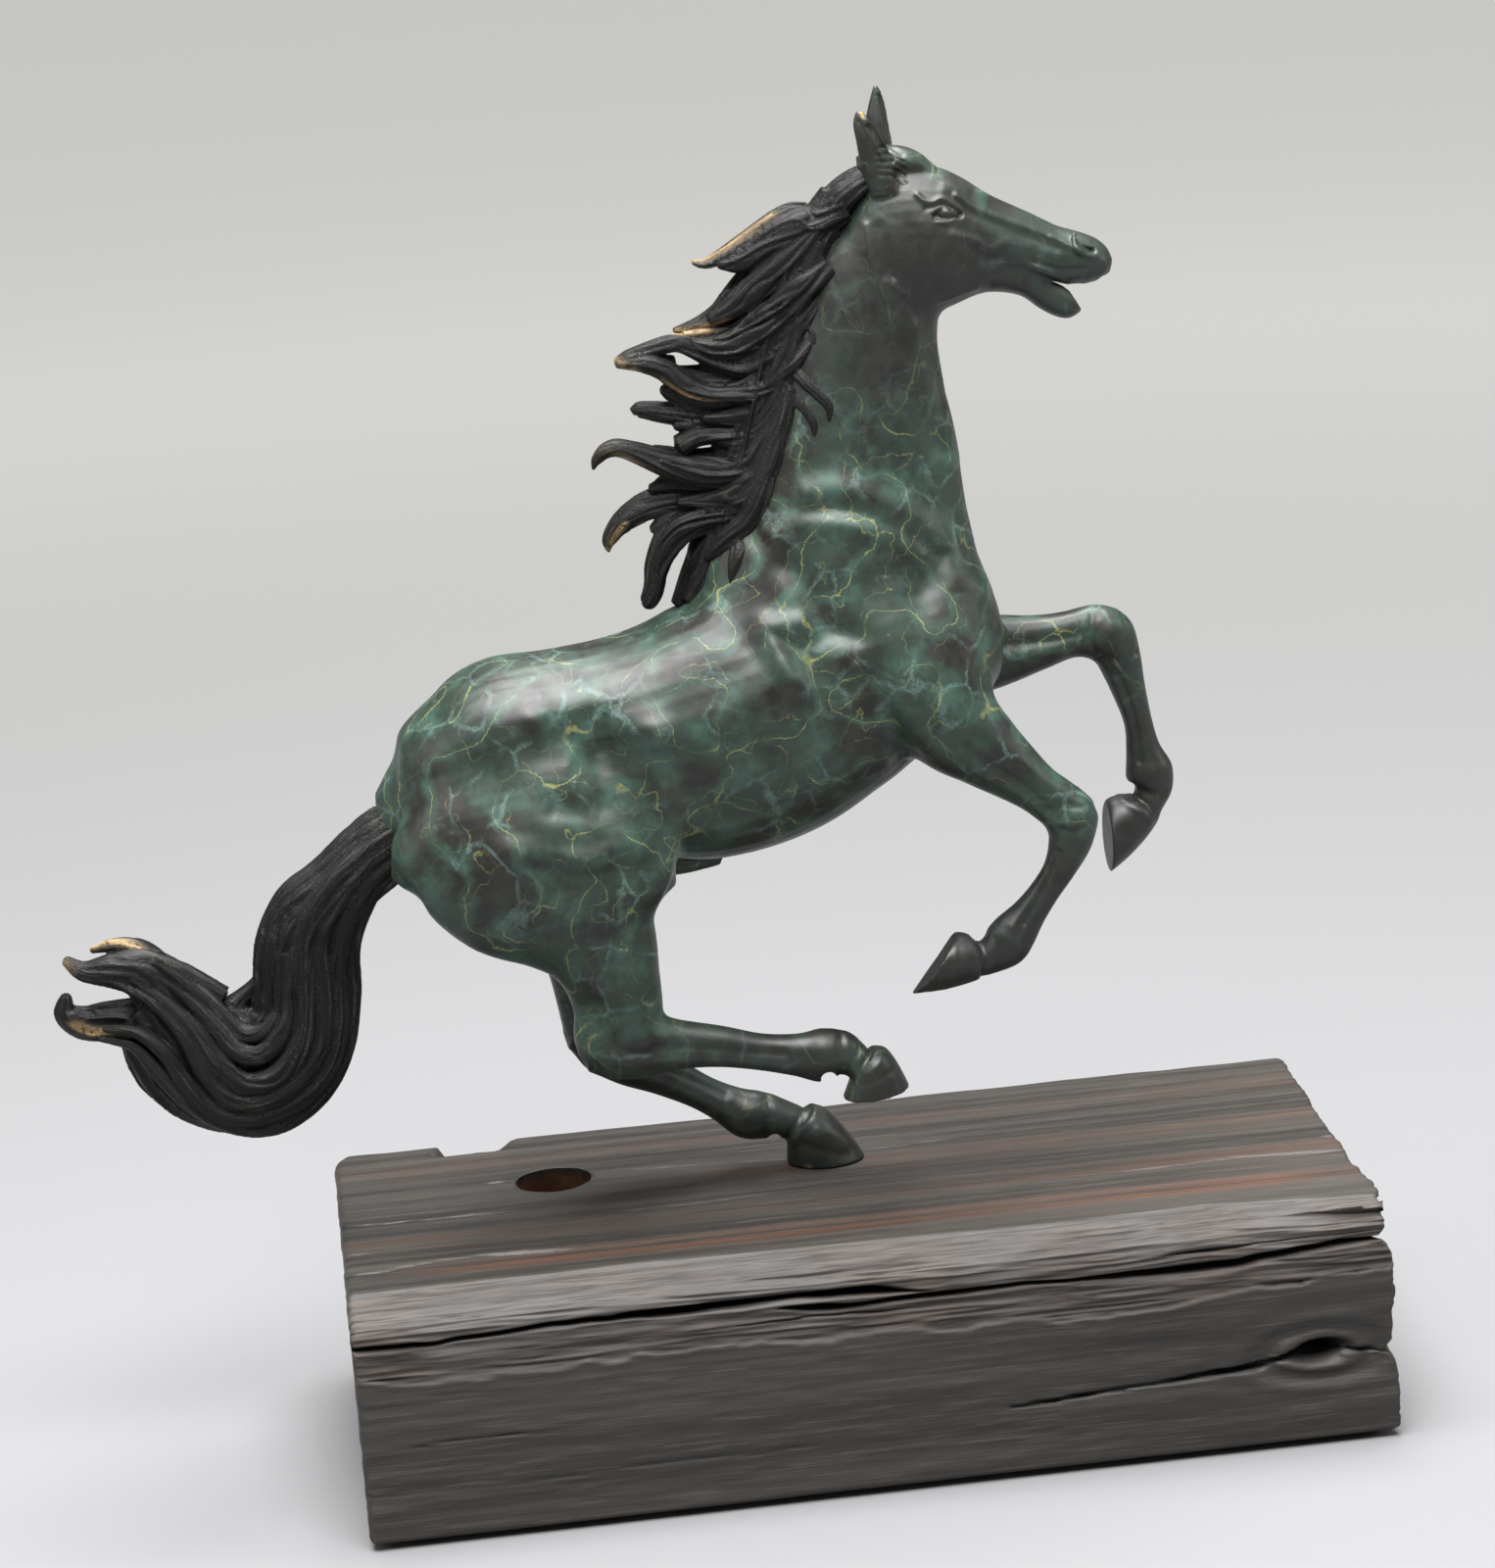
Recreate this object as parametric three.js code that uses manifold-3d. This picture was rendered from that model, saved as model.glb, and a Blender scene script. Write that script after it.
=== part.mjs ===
// A bronze horse at the gallop on a weathered hardwood block.
// Millimetres, +Z up, the horse faces +X and its left side is +Y. The origin ends up on the resting
// plane under the middle of the whole statue.
import * as THREE from "three";
import { mergeVertices } from "three/addons/utils/BufferGeometryUtils.js";
import Module from "manifold-3d";

const wasm = await Module();
wasm.setup();

// ---- driving dimensions -------------------------------------------------------------------------
const BLOCK_LENGTH = 430;
const BLOCK_WIDTH = 205;
const BLOCK_HEIGHT = 100;
const PAD_DIAMETER = 24;
const PAD_HEIGHT = 3;
const PAD_INSET = 26;
const WALL = 5;
const GAP = 0.3;
const SPIKE_HOLE_DIAMETER = 33;
const SPIKE_HOLE_AT = [-120, 38];
const HOOF_AT = [-5, 28];
const STUD_DIAMETER = 8;
const STUD_HOLE_DIAMETER = 9;
const STUD_INTO_HOOF = 14;
const COUNTERBORE_DIAMETER = 40;
const COUNTERBORE_DEPTH = 22;
const WASHER_DIAMETER = 30;
const WASHER_THICKNESS = 2.5;
const NUT_ACROSS_CORNERS = 15;
const NUT_THICKNESS = 6.5;

const BLOCK_TOP = PAD_HEIGHT + BLOCK_HEIGHT;
const FAR = 700;

// ---- materials ----------------------------------------------------------------------------------
const bronze = new THREE.MeshStandardMaterial({ color: 0x35403a, roughness: 0.42, metalness: 0.75 });
const darkBronze = new THREE.MeshStandardMaterial({ color: 0x2b2a27, roughness: 0.45, metalness: 0.75 });
const timber = new THREE.MeshStandardMaterial({ color: 0x4a423b, roughness: 0.75, metalness: 0 });
const steel = new THREE.MeshStandardMaterial({ color: 0x8f9295, roughness: 0.35, metalness: 1 });
const felt = new THREE.MeshStandardMaterial({ color: 0x1c1c1c, roughness: 0.95, metalness: 0 });

// ---- solids -------------------------------------------------------------------------------------
// A closed three.js geometry as a solid that can be joined and cut.
function solid(geometry) {
  const bare = new THREE.BufferGeometry();
  const source = geometry.index ? geometry.toNonIndexed() : geometry;
  bare.setAttribute("position", source.getAttribute("position"));
  const merged = mergeVertices(bare, 1e-4);
  return new wasm.Manifold(
    new wasm.Mesh({
      numProp: 3,
      vertProperties: merged.attributes.position.array,
      triVerts: new Uint32Array(merged.index.array),
    }),
  );
}

function join(solids) {
  return solids.reduce((whole, next) => whole.add(next));
}

// A solid back as a named mesh.
function piece(name, body, material) {
  const { vertProperties, triVerts } = body.getMesh();
  const geometry = new THREE.BufferGeometry();
  geometry.setAttribute("position", new THREE.BufferAttribute(new Float32Array(vertProperties), 3));
  geometry.setIndex(new THREE.BufferAttribute(new Uint32Array(triVerts), 1));
  geometry.computeVertexNormals();
  const mesh = new THREE.Mesh(geometry, material);
  mesh.name = name;
  return mesh;
}

// Everything on the side of a plane that its normal points to; the plane stands upright or leans in x-z.
function halfSpace([x, z], [nx, nz], offset = 0) {
  const normal = new THREE.Vector3(nx, 0, nz).normalize();
  const box = new THREE.BoxGeometry(FAR, FAR, FAR);
  box.translate(0, 0, FAR / 2 + offset);
  box.applyQuaternion(new THREE.Quaternion().setFromUnitVectors(new THREE.Vector3(0, 0, 1), normal));
  box.translate(x, 0, z);
  return solid(box);
}

// Cuts a solid at a plane and leaves half the weld gap on this side of it.
function keepSide(body, point, normal) {
  return body.intersect(halfSpace(point, normal, GAP / 2));
}

function opposite([nx, nz]) {
  return [-nx, -nz];
}

// A skin through oval rings set square to a spine. A station is
// [x, z, y, half depth in the spine's plane, half width across it, facing]. Where facing is given, the
// ring faces that way instead: degrees from +X towards +Z.
function loft(stations, { sides = 16, steps = 3, grow = 0, power = 2 } = {}) {
  const centres = stations.map(([x, z, y]) => new THREE.Vector3(x, y, z));
  const sizes = stations.map(([, , , depth, width, facing = 0]) => new THREE.Vector3(depth, width, facing));
  const turned = stations[0].length > 5;
  const spine = new THREE.CatmullRomCurve3(centres, false, "catmullrom", 0.5);
  const size = new THREE.CatmullRomCurve3(sizes, false, "catmullrom", 0.5);
  const count = (stations.length - 1) * steps;
  const across = new THREE.Vector3(0, 1, 0);
  const positions = [];
  for (let i = 0; i <= count; i += 1) {
    const t = i / count;
    const centre = spine.getPoint(t);
    const ahead = spine.getPoint(Math.min(1, t + 1e-3));
    const behind = spine.getPoint(Math.max(0, t - 1e-3));
    const along = ahead.sub(behind).normalize();
    const { x: depth, y: width, z: facing } = size.getPoint(t);
    const turn = THREE.MathUtils.degToRad(facing);
    if (turned) along.set(Math.cos(turn), 0, Math.sin(turn));
    const up = new THREE.Vector3().crossVectors(along, across).normalize();
    const side = new THREE.Vector3().crossVectors(up, along).normalize();
    if (grow > 0 && i === 0) centre.addScaledVector(along, -grow);
    if (grow > 0 && i === count) centre.addScaledVector(along, grow);
    for (let j = 0; j < sides; j += 1) {
      const angle = (2 * Math.PI * j) / sides;
      const c = Math.cos(angle);
      const s = Math.sin(angle);
      const u = Math.sign(c) * Math.abs(c) ** (2 / power) * (Math.max(depth, 0.4) + grow);
      const v = Math.sign(s) * Math.abs(s) ** (2 / power) * (Math.max(width, 0.4) + grow);
      const point = centre.clone().addScaledVector(up, u).addScaledVector(side, v);
      positions.push(point.x, point.y, point.z);
    }
  }
  const index = [];
  for (let i = 0; i < count; i += 1) {
    for (let j = 0; j < sides; j += 1) {
      const a = i * sides + j;
      const b = i * sides + ((j + 1) % sides);
      index.push(a, a + sides, b, b, a + sides, b + sides);
    }
  }
  const last = count * sides;
  for (let j = 1; j < sides - 1; j += 1) {
    index.push(0, j, j + 1);
    index.push(last, last + j + 1, last + j);
  }
  const geometry = new THREE.BufferGeometry();
  geometry.setAttribute("position", new THREE.Float32BufferAttribute(positions, 3));
  geometry.setIndex(index);
  return solid(geometry);
}

// An upright cylinder, or a prism with the given number of sides.
function column(diameter, [x, y], z0, z1, sides = 32) {
  const geometry = new THREE.CylinderGeometry(diameter / 2, diameter / 2, z1 - z0, sides);
  geometry.rotateX(Math.PI / 2);
  geometry.translate(x, y, (z0 + z1) / 2);
  return solid(geometry);
}

// ---- trunk, neck and head -----------------------------------------------------------------------
const TRUNK = [
  [-171, 289, 0, 11, 12],
  [-163, 289, 0, 27, 26],
  [-148, 291, 0, 41, 38],
  [-126, 295, 0, 49, 43],
  [-100, 299, 0, 47, 43],
  [-75, 302, 0, 47, 43],
  [-48, 304.5, 0, 53, 44],
  [-20, 311, 0, 54.5, 44],
  [8, 321, 0, 50, 42],
  [34, 330, 0, 43.5, 39],
  [56, 334, 0, 38, 35],
  [71, 335, 0, 30, 28],
  [80, 335, 0, 18, 17],
  [83, 335, 0, 7, 7],
];
const NECK = [
  [8, 318, 0, 56, 33],
  [13, 345, 0, 58, 33],
  [18, 370, 0, 58, 30],
  [22, 396, 0, 51, 26],
  [26, 420, 0, 44.5, 23],
  [29, 444, 0, 38, 21],
  [34, 468, 0, 31.5, 19],
  [42, 490, 0, 27, 17],
  [52, 507, 0, 20, 13],
];
const HEAD = [
  [34, 500, 0, 15, 11],
  [44, 502, 0, 28, 15],
  [58, 502, 0, 31, 17.5],
  [72, 500, 0, 27.5, 17],
  [86, 497.5, 0, 20.5, 13.5],
  [99, 494.5, 0, 16.5, 11],
  [112, 491, 0, 13, 10],
  [123, 489, 0, 11, 10.5],
  [131, 487.5, 0, 9.5, 9.5],
  [136, 486.5, 0, 6.5, 6.5],
  [138, 486, 0, 2.5, 3],
];
const LOWER_JAW = [
  [92, 487, 0, 8, 9],
  [104, 481.5, 0, 7, 8],
  [113, 475.5, 0, 7.5, 7.5],
  [120, 471, 0, 7, 7.5],
  [124.5, 467.5, 0, 4.5, 5.5],
];
const FORELOCK = [
  [40, 530, 0, 9, 9],
  [50, 535, 0, 6.5, 9],
  [59, 533, 0, 5.5, 8],
  [66, 530, 0, 2.5, 5],
];
const EAR_RIGHT = [
  [45, 524, -8, 6, 5],
  [43, 536, -9.5, 6.8, 4.5],
  [40.5, 548, -10.5, 4.6, 3.2],
  [38, 558.5, -10.5, 1.2, 1],
];
const EAR_LEFT = [
  [45, 524, 8, 6, 5],
  [45.5, 538, 9.5, 6.8, 4.5],
  [46, 552, 10.5, 4.8, 3.2],
  [46, 565.5, 11, 1.2, 1],
];
const SHEATH = [
  [-92, 266, 0, 10, 8],
  [-76, 253, 0, 6, 7],
  [-60, 249.5, 0, 4.5, 5.5],
  [-42, 250.5, 0, 3, 4],
];

// ---- legs: haunch, gaskin or forearm, cannon with fetlock, and hoof, each a loft -------------------
const HAUNCH_RIGHT = [
  [-177, 264, -27, 6, 6],
  [-168, 267, -28, 21, 15],
  [-152, 268, -30, 35, 20],
  [-132, 267, -31, 43, 22],
  [-112, 265, -31.5, 45, 22],
  [-94, 261, -31, 41, 21],
  [-79, 257, -30, 30, 18.5],
  [-69, 252, -29, 16, 13],
  [-65, 250, -29, 5, 5],
];
const GASKIN_RIGHT = [
  [-108, 262, -31, 32, 18],
  [-103, 242, -31, 30, 18.5],
  [-96, 225, -30.5, 24, 16.5],
  [-92.5, 211, -29.5, 20, 14.5],
  [-91, 197, -29, 18.5, 11.5],
  [-92.5, 184, -29, 18, 9.5],
  [-93, 177, -29, 12, 7],
];
const HIND_CANNON_RIGHT = [
  [-106, 180, -29, 8, 6],
  [-97, 180.5, -29, 12.5, 8.5],
  [-82, 181, -29, 14, 9.5],
  [-66, 179.5, -29, 10.5, 8],
  [-50, 177, -29, 8.8, 6.8],
  [-34, 173, -29, 7.8, 6.4],
  [-19, 170, -29, 9, 7],
  [-8, 168.5, -29, 11.5, 8.5],
  [0, 168.5, -29, 10, 8],
  [7, 164, -29, 7.2, 7.2],
  [11.5, 159.5, -29, 7.5, 7.5],
];
const HIND_HOOF_RIGHT = [
  [9.5, 164.5, -29, 8, 8.2, -46],
  [12, 161.5, -29, 10.5, 11, -58],
  [14, 150, -29, 14.3, 13, -84],
];
const HAUNCH_LEFT = HAUNCH_RIGHT.map(([x, z, y, depth, width]) => [x, z - 2, -y, depth, width]);
const GASKIN_LEFT = [
  [-110, 260, 31, 32, 18],
  [-105, 238, 31, 29, 18.5],
  [-99, 219, 30.5, 23.5, 16.5],
  [-96.5, 202, 29, 20, 14],
  [-95.5, 186, 28, 18, 11],
  [-95, 173, 28, 16, 9.5],
  [-94, 166, 28, 10, 7],
];
const HIND_CANNON_LEFT = [
  [-108, 171, 28, 6, 6],
  [-98, 166.5, 28, 12, 8.5],
  [-84, 158, 28, 12.5, 9],
  [-70, 149, 28, 9.5, 7.8],
  [-56, 140, 28, 7.8, 6.6],
  [-45, 133, 28, 8.6, 7],
  [-36, 127.5, 28, 10.8, 8.5],
  [-28, 125.5, 28, 10.2, 8.2],
  [-19, 122.5, 28, 8.2, 7.8],
  [-11, 118, 28, 8, 8],
];
const HIND_HOOF_LEFT = [
  [-12.5, 122.5, 28, 8.6, 8.6, -48],
  [-9.5, 118.5, 28, 11.3, 11.3, -60],
  [-3, BLOCK_TOP + GAP, 28, 16.8, 13.5, -90],
];
const FOREARM_RIGHT = [
  [34, 344, -17, 26, 15],
  [44, 325, -24, 26, 17],
  [57, 305, -28, 21, 15],
  [69, 293, -29, 16.5, 12.5],
  [80, 283, -29, 13, 10.5],
  [90, 274, -29, 10.5, 9],
  [98, 267, -29, 10.5, 8.5],
  [104, 261, -29, 9.5, 8],
];
const FORE_CANNON_RIGHT = [
  [106, 268, -29, 7, 7],
  [104.5, 261, -29, 10.5, 9],
  [102.5, 250, -29, 9.2, 8],
  [97.5, 239, -29, 6.8, 6.2],
  [91, 230, -29, 6.2, 5.8],
  [84, 221.5, -29, 7.2, 6.2],
  [77, 213.5, -29, 9.6, 7.6],
  [72, 208, -29, 10, 8],
  [65, 204, -29, 7.6, 7.4],
  [57, 203.5, -29, 8, 8],
];
const FORE_HOOF_RIGHT = [
  [60, 203.5, -29, 8.6, 8.6, 182],
  [56, 204, -29, 10.5, 11, 174],
  [41, 203.3, -29, 15, 13, 140],
];
const FOREARM_LEFT = [
  [44, 330, 20, 25, 15],
  [60, 323, 26, 22, 15],
  [76, 320.5, 28, 17.5, 13],
  [90, 321, 29, 14.8, 11.5],
  [104, 322.5, 29, 11.8, 9.5],
  [117, 324.5, 29, 10, 8.5],
  [128, 325, 29, 11.5, 8.8],
  [136, 324, 29, 9, 8],
];
const FORE_CANNON_LEFT = [
  [129, 330, 29, 6, 7],
  [133.5, 324, 29, 10.8, 9],
  [137.5, 313, 29, 9.6, 8.2],
  [141, 299, 29, 7.4, 6.4],
  [144.5, 284, 29, 6, 5.8],
  [146, 272, 29, 7.4, 6.4],
  [148, 262, 29, 10.2, 8],
  [149, 255, 29, 9, 7.6],
  [147, 249, 29, 7.4, 7.4],
  [143, 243, 29, 7.4, 7.6],
];
const FORE_HOOF_LEFT = [
  [144.5, 248.5, 29, 8.2, 8.4, 236],
  [142, 245, 29, 10.2, 10.8, 226],
  [128.5, 234, 29, 15, 13, 180],
];

// ---- hair ---------------------------------------------------------------------------------------
const MANE_CREST = [
  [25, 524, 0, 7, 6],
  [15, 510, 0, 10, 7],
  [5, 492, 0, 12, 7],
  [-5, 468, 0, 14, 7],
  [-14, 444, 0, 15, 7],
  [-23, 418, 0, 15, 7],
  [-32, 392, 0, 14, 7],
  [-42, 370, 0, 9, 6],
  [-50, 361, 0, 4, 4],
];
const MANE_LOCKS_UPPER = [
  [[20, 516, 0, 8, 6], [6, 509, -2, 8, 6], [-8, 503, -2, 7, 5], [-20, 500, 0, 4.5, 4], [-34, 501, 2, 1, 1.2]],
  [[4, 492, 0, 12, 6], [-10, 488, 3, 10, 6], [-22, 481, 4, 7, 5], [-33, 475, 2, 4.5, 3.5], [-44, 473.5, 0, 1.2, 1.4]],
  [[-4, 476, 0, 9, 6], [-20, 472, -3, 6.5, 5], [-36, 469.5, -5, 4, 4], [-52, 466, -5, 5, 4], [-69, 463, -3, 2, 2]],
  [[-8, 460, 0, 9, 6], [-22, 452, 0, 7, 5], [-38, 452, -2, 6, 4.5], [-50, 457, -4, 6, 4], [-62, 461, -4, 3, 3]],
  [[-10, 450, 0, 9, 6], [-26, 443, 4, 8, 5], [-40, 441, 6, 6.5, 4.5], [-51, 441, 6, 4, 3.5], [-61, 441.5, 5, 1.6, 2]],
];
const MANE_LOCKS_LOWER = [
  [[-16, 436, 0, 9, 6], [-30, 434, 0, 5, 5], [-42, 433, -3, 5, 4.5], [-56, 425, -5, 5, 4], [-68, 424, -5, 5, 3.5],
    [-76, 427, -4, 4, 3], [-81, 420, -2, 1.5, 1.5]],
  [[-18, 424, 0, 11, 6], [-32, 415, 0, 8, 5.5], [-46, 416, -2, 8, 5], [-58, 419, -4, 7, 4]],
  [[-24, 410, 0, 11, 6], [-40, 405, 4, 10, 5.5], [-54, 403, 6, 9, 5], [-66, 400, 6, 6.5, 4], [-75, 393, 5, 3.5, 3],
    [-77, 385, 4, 1.2, 1.4]],
  [[-28, 396, 0, 10, 6], [-42, 394, -3, 9, 5.5], [-52, 388, -5, 7.5, 5], [-57, 377, -5, 6, 4.5], [-61, 366, -4, 4, 3.5],
    [-62, 362, -4, 1.6, 2]],
  [[-32, 384, 0, 9, 6], [-42, 380, 2, 3.6, 4], [-48, 371, 3, 4, 4], [-53, 361.5, 2, 2.5, 3]],
];
const TAIL = [
  [-158, 297, 0, 15, 12],
  [-172, 284, 0, 16, 12],
  [-186, 268.5, 0, 14.5, 12],
  [-201, 256, -1, 14.5, 12.5],
  [-213, 243, -1, 16, 13],
  [-219.5, 229, -1, 17, 13],
  [-221, 213, 0, 17.5, 13.5],
  [-223, 198, 1, 20, 14],
  [-233, 184, 2, 25, 14],
  [-250, 179.5, 2, 24, 13.5],
  [-266, 188, 2, 24, 12.5],
  [-279, 202, 2, 20, 11],
  [-288, 212, 2, 13, 9],
];
const TAIL_TIPS = [
  [[-272, 200, 2, 16, 10], [-288, 203, 3, 11, 8], [-301, 205.5, 3, 8, 6.5], [-312, 206.5, 2, 6.5, 5.5],
    [-319, 212, 1, 4.5, 4.5], [-318, 219.5, 0, 1.8, 2.5]],
  [[-262, 204, 0, 14, 9], [-276, 218, -2, 12, 7], [-286, 227, -3, 9, 6], [-297, 229, -3, 6.5, 5],
    [-309, 229.5, -2, 4, 4], [-317, 235, -1, 1.8, 2.2]],
  [[-276, 222, 2, 6, 5], [-285, 234, 3, 4.5, 4], [-295, 238, 3, 2.8, 3], [-306, 237, 3, 1.2, 1.6]],
];
const TAIL_BRIDGE = [
  [-226, 228, 2, 6, 5],
  [-236, 217.5, 3, 3.6, 3.5],
  [-245, 210.5, 3, 3.4, 3.5],
  [-258, 200, 2, 7, 6],
];

// ---- where the castings are cut -----------------------------------------------------------------
const NECK_CUT = { at: [20, 363], towards: [0.04, 1] };
const HEAD_CUT = { at: [54, 461], towards: [0.837, 0.548] };
const MANE_CUT = { at: [-44, 434], towards: [0.1, 1] };
const HIND_CUT_RIGHT = { at: [-70, 241], towards: [0.5, -0.86] };
const HIND_CUT_LEFT = { at: [-70, 235], towards: [0.5, -0.86] };
const FORE_CUT_RIGHT = { at: [62, 301], towards: [0.806, -0.591] };
const FORE_CUT_LEFT = { at: [88, 321], towards: [1, 0] };

const trunk = loft(TRUNK, { sides: 22, steps: 1, power: 2.15 });
const trunkGrown = loft(TRUNK, { sides: 22, steps: 1, power: 2.15, grow: GAP });
const neck = loft(NECK, { sides: 18, steps: 1 });
const neckGrown = loft(NECK, { sides: 18, steps: 1, grow: GAP });
const headParts = [
  loft(HEAD, { sides: 16, steps: 1 }),
  loft(LOWER_JAW, { sides: 10, steps: 1 }),
  loft(FORELOCK, { sides: 10, steps: 1 }),
  loft(EAR_RIGHT, { sides: 8, steps: 1 }),
  loft(EAR_LEFT, { sides: 8, steps: 1 }),
];
const headGrown = join([
  loft(HEAD, { sides: 16, steps: 1, grow: GAP }),
  loft(FORELOCK, { sides: 10, steps: 1, grow: GAP }),
  loft(EAR_RIGHT, { sides: 8, steps: 1, grow: GAP }),
  loft(EAR_LEFT, { sides: 8, steps: 1, grow: GAP }),
]);

// The hollow inside the castings, one wall thickness in from the skin.
const hollowTrunk = TRUNK.slice(2, 12).map(([x, z, y, depth, width]) => [x, z, y, depth - WALL, width - WALL]);
const hollowNeck = NECK.slice(0, 8).map(([x, z, y, depth, width]) => [x, z, y, depth - WALL, width - WALL]);
const hollow = join([
  loft(hollowTrunk, { sides: 16, steps: 1, power: 2.15 }),
  loft(hollowNeck, { sides: 16, steps: 1 }),
]);

// ---- leg castings -------------------------------------------------------------------------------
const LIMB = { sides: 14, steps: 1 };
const HOOF = { sides: 16, steps: 1 };
const legs = {
  hindRight: {
    upper: [HAUNCH_RIGHT, GASKIN_RIGHT],
    lower: [HIND_CANNON_RIGHT],
    hoof: HIND_HOOF_RIGHT,
    cut: HIND_CUT_RIGHT,
  },
  hindLeft: {
    upper: [HAUNCH_LEFT, GASKIN_LEFT],
    lower: [HIND_CANNON_LEFT],
    hoof: HIND_HOOF_LEFT,
    cut: HIND_CUT_LEFT,
  },
  foreRight: { upper: [FOREARM_RIGHT], lower: [FORE_CANNON_RIGHT], hoof: FORE_HOOF_RIGHT, cut: FORE_CUT_RIGHT },
  foreLeft: { upper: [FOREARM_LEFT], lower: [FORE_CANNON_LEFT], hoof: FORE_HOOF_LEFT, cut: FORE_CUT_LEFT },
};
for (const leg of Object.values(legs)) {
  const upper = join(leg.upper.map((part) => loft(part, LIMB)));
  leg.root = keepSide(upper, leg.cut.at, opposite(leg.cut.towards));
  const whole = join([upper, ...leg.lower.map((part) => loft(part, LIMB)), loft(leg.hoof, HOOF)]);
  leg.casting = keepSide(whole, leg.cut.at, leg.cut.towards).subtract(trunkGrown);
}

// The planted hoof is tapped for the stud.
const studTop = BLOCK_TOP + STUD_INTO_HOOF;
legs.hindLeft.casting = legs.hindLeft.casting.subtract(
  column(STUD_DIAMETER + 2 * GAP, HOOF_AT, BLOCK_TOP - 5, studTop + GAP, 20),
);

// ---- trunk, neck and head castings --------------------------------------------------------------
const skin = join([trunk, neck, ...headParts]);
const roots = Object.values(legs).map((leg) => leg.root);
const torso = join([
  keepSide(join([trunk, neck]), NECK_CUT.at, opposite(NECK_CUT.towards)).subtract(hollow),
  ...roots.map((root) => root.subtract(hollow)),
  loft(SHEATH, { sides: 12, steps: 2 }).subtract(hollow),
]);
const neckCasting = keepSide(
  keepSide(join([trunk, neck]), NECK_CUT.at, NECK_CUT.towards),
  HEAD_CUT.at,
  opposite(HEAD_CUT.towards),
).subtract(hollow);
const headCasting = keepSide(skin, HEAD_CUT.at, HEAD_CUT.towards).subtract(hollow);

// ---- mane and tail castings ---------------------------------------------------------------------
const LOCK = { sides: 7, steps: 2 };
const mane = join(
  [MANE_CREST, ...MANE_LOCKS_UPPER, ...MANE_LOCKS_LOWER].map((lock) => loft(lock, LOCK)),
).subtract(join([trunkGrown, neckGrown, headGrown]));
const maneUpper = keepSide(mane, MANE_CUT.at, MANE_CUT.towards);
const maneLower = keepSide(mane, MANE_CUT.at, opposite(MANE_CUT.towards));
const haunches = [HAUNCH_RIGHT, HAUNCH_LEFT].map((part) => loft(part, { ...LIMB, grow: GAP }));
const tail = join([
  loft(TAIL, { sides: 14, steps: 1 }),
  ...TAIL_TIPS.map((tip) => loft(tip, LOCK)),
  loft(TAIL_BRIDGE, LOCK),
]).subtract(join([trunkGrown, ...haunches]));

// ---- timber block -------------------------------------------------------------------------------
// Plan outline, counter-clockwise from the front left corner; the right end is torn and weathered.
const BLOCK_PLAN = [
  [-213, -BLOCK_WIDTH / 2],
  [212, -BLOCK_WIDTH / 2],
  [215, -98],
  [213.5, -72],
  [215, -48],
  [212, -22],
  [213, 4],
  [211, 30],
  [213, 58],
  [210.5, 84],
  [211, BLOCK_WIDTH / 2],
  [-209, BLOCK_WIDTH / 2],
  [-213.5, 99],
  [-215, 92],
  [-215, -99],
];
const plan = new THREE.Shape(BLOCK_PLAN.map(([x, y]) => new THREE.Vector2(x, y)));
const blockGeometry = new THREE.ExtrudeGeometry(plan, { depth: BLOCK_HEIGHT - GAP, bevelEnabled: false });
blockGeometry.translate(0, 0, PAD_HEIGHT + GAP);

// A prism lying along x between two x positions, from an outline in y-z; drop lowers its far end.
function alongX(outline, x0, x1, drop = 0) {
  const shape = new THREE.Shape(outline.map(([y, z]) => new THREE.Vector2(y, z)));
  const geometry = new THREE.ExtrudeGeometry(shape, { depth: x1 - x0, bevelEnabled: false });
  geometry.applyMatrix4(new THREE.Matrix4().set(0, 0, 1, x0, 1, 0, 0, 0, 0, 1, 0, 0, 0, 0, 0, 1));
  const position = geometry.getAttribute("position");
  for (let i = 0; i < position.count; i += 1) {
    const share = (position.getX(i) - x0) / (x1 - x0);
    position.setZ(i, position.getZ(i) - drop * share);
  }
  return solid(geometry);
}

const front = -BLOCK_WIDTH / 2;
const back = BLOCK_WIDTH / 2;
const WORN_ARRIS = [
  [front - 5, BLOCK_TOP - 14],
  [front, BLOCK_TOP - 14],
  [front + 1, BLOCK_TOP - 9],
  [front + 4, BLOCK_TOP - 5.5],
  [front + 11, BLOCK_TOP - 2.2],
  [front + 23, BLOCK_TOP],
  [front + 23, BLOCK_TOP + 5],
  [front - 5, BLOCK_TOP + 5],
];
const CRACK = [
  [front - 5, -1.3],
  [front, -1.3],
  [front + 13, -0.2],
  [front + 13, 0.2],
  [front, 1.3],
  [front - 5, 1.3],
];
const crackAt = (depth) => CRACK.map(([y, z]) => [y, BLOCK_TOP - depth + z]);
const BACK_NOTCH = [
  [back - 15, BLOCK_TOP + 4],
  [back - 15, BLOCK_TOP],
  [back - 9, BLOCK_TOP - 4.5],
  [back, BLOCK_TOP - 7],
  [back + 4, BLOCK_TOP - 7],
  [back + 4, BLOCK_TOP + 4],
];
let block = solid(blockGeometry);
const cutters = [
  alongX(WORN_ARRIS, -230, 230),
  alongX(crackAt(15), -230, 20, -2),
  alongX(crackAt(19.5), -30, 230, -3),
  alongX(crackAt(68), 90, 230, -5),
  alongX(BACK_NOTCH, -172, -138),
  column(SPIKE_HOLE_DIAMETER, SPIKE_HOLE_AT, -5, BLOCK_TOP + 5, 36),
  column(STUD_HOLE_DIAMETER, HOOF_AT, -5, BLOCK_TOP + 5, 20),
  column(COUNTERBORE_DIAMETER, HOOF_AT, -5, PAD_HEIGHT + COUNTERBORE_DEPTH, 36),
];
for (const cutter of cutters) block = block.subtract(cutter);

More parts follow.
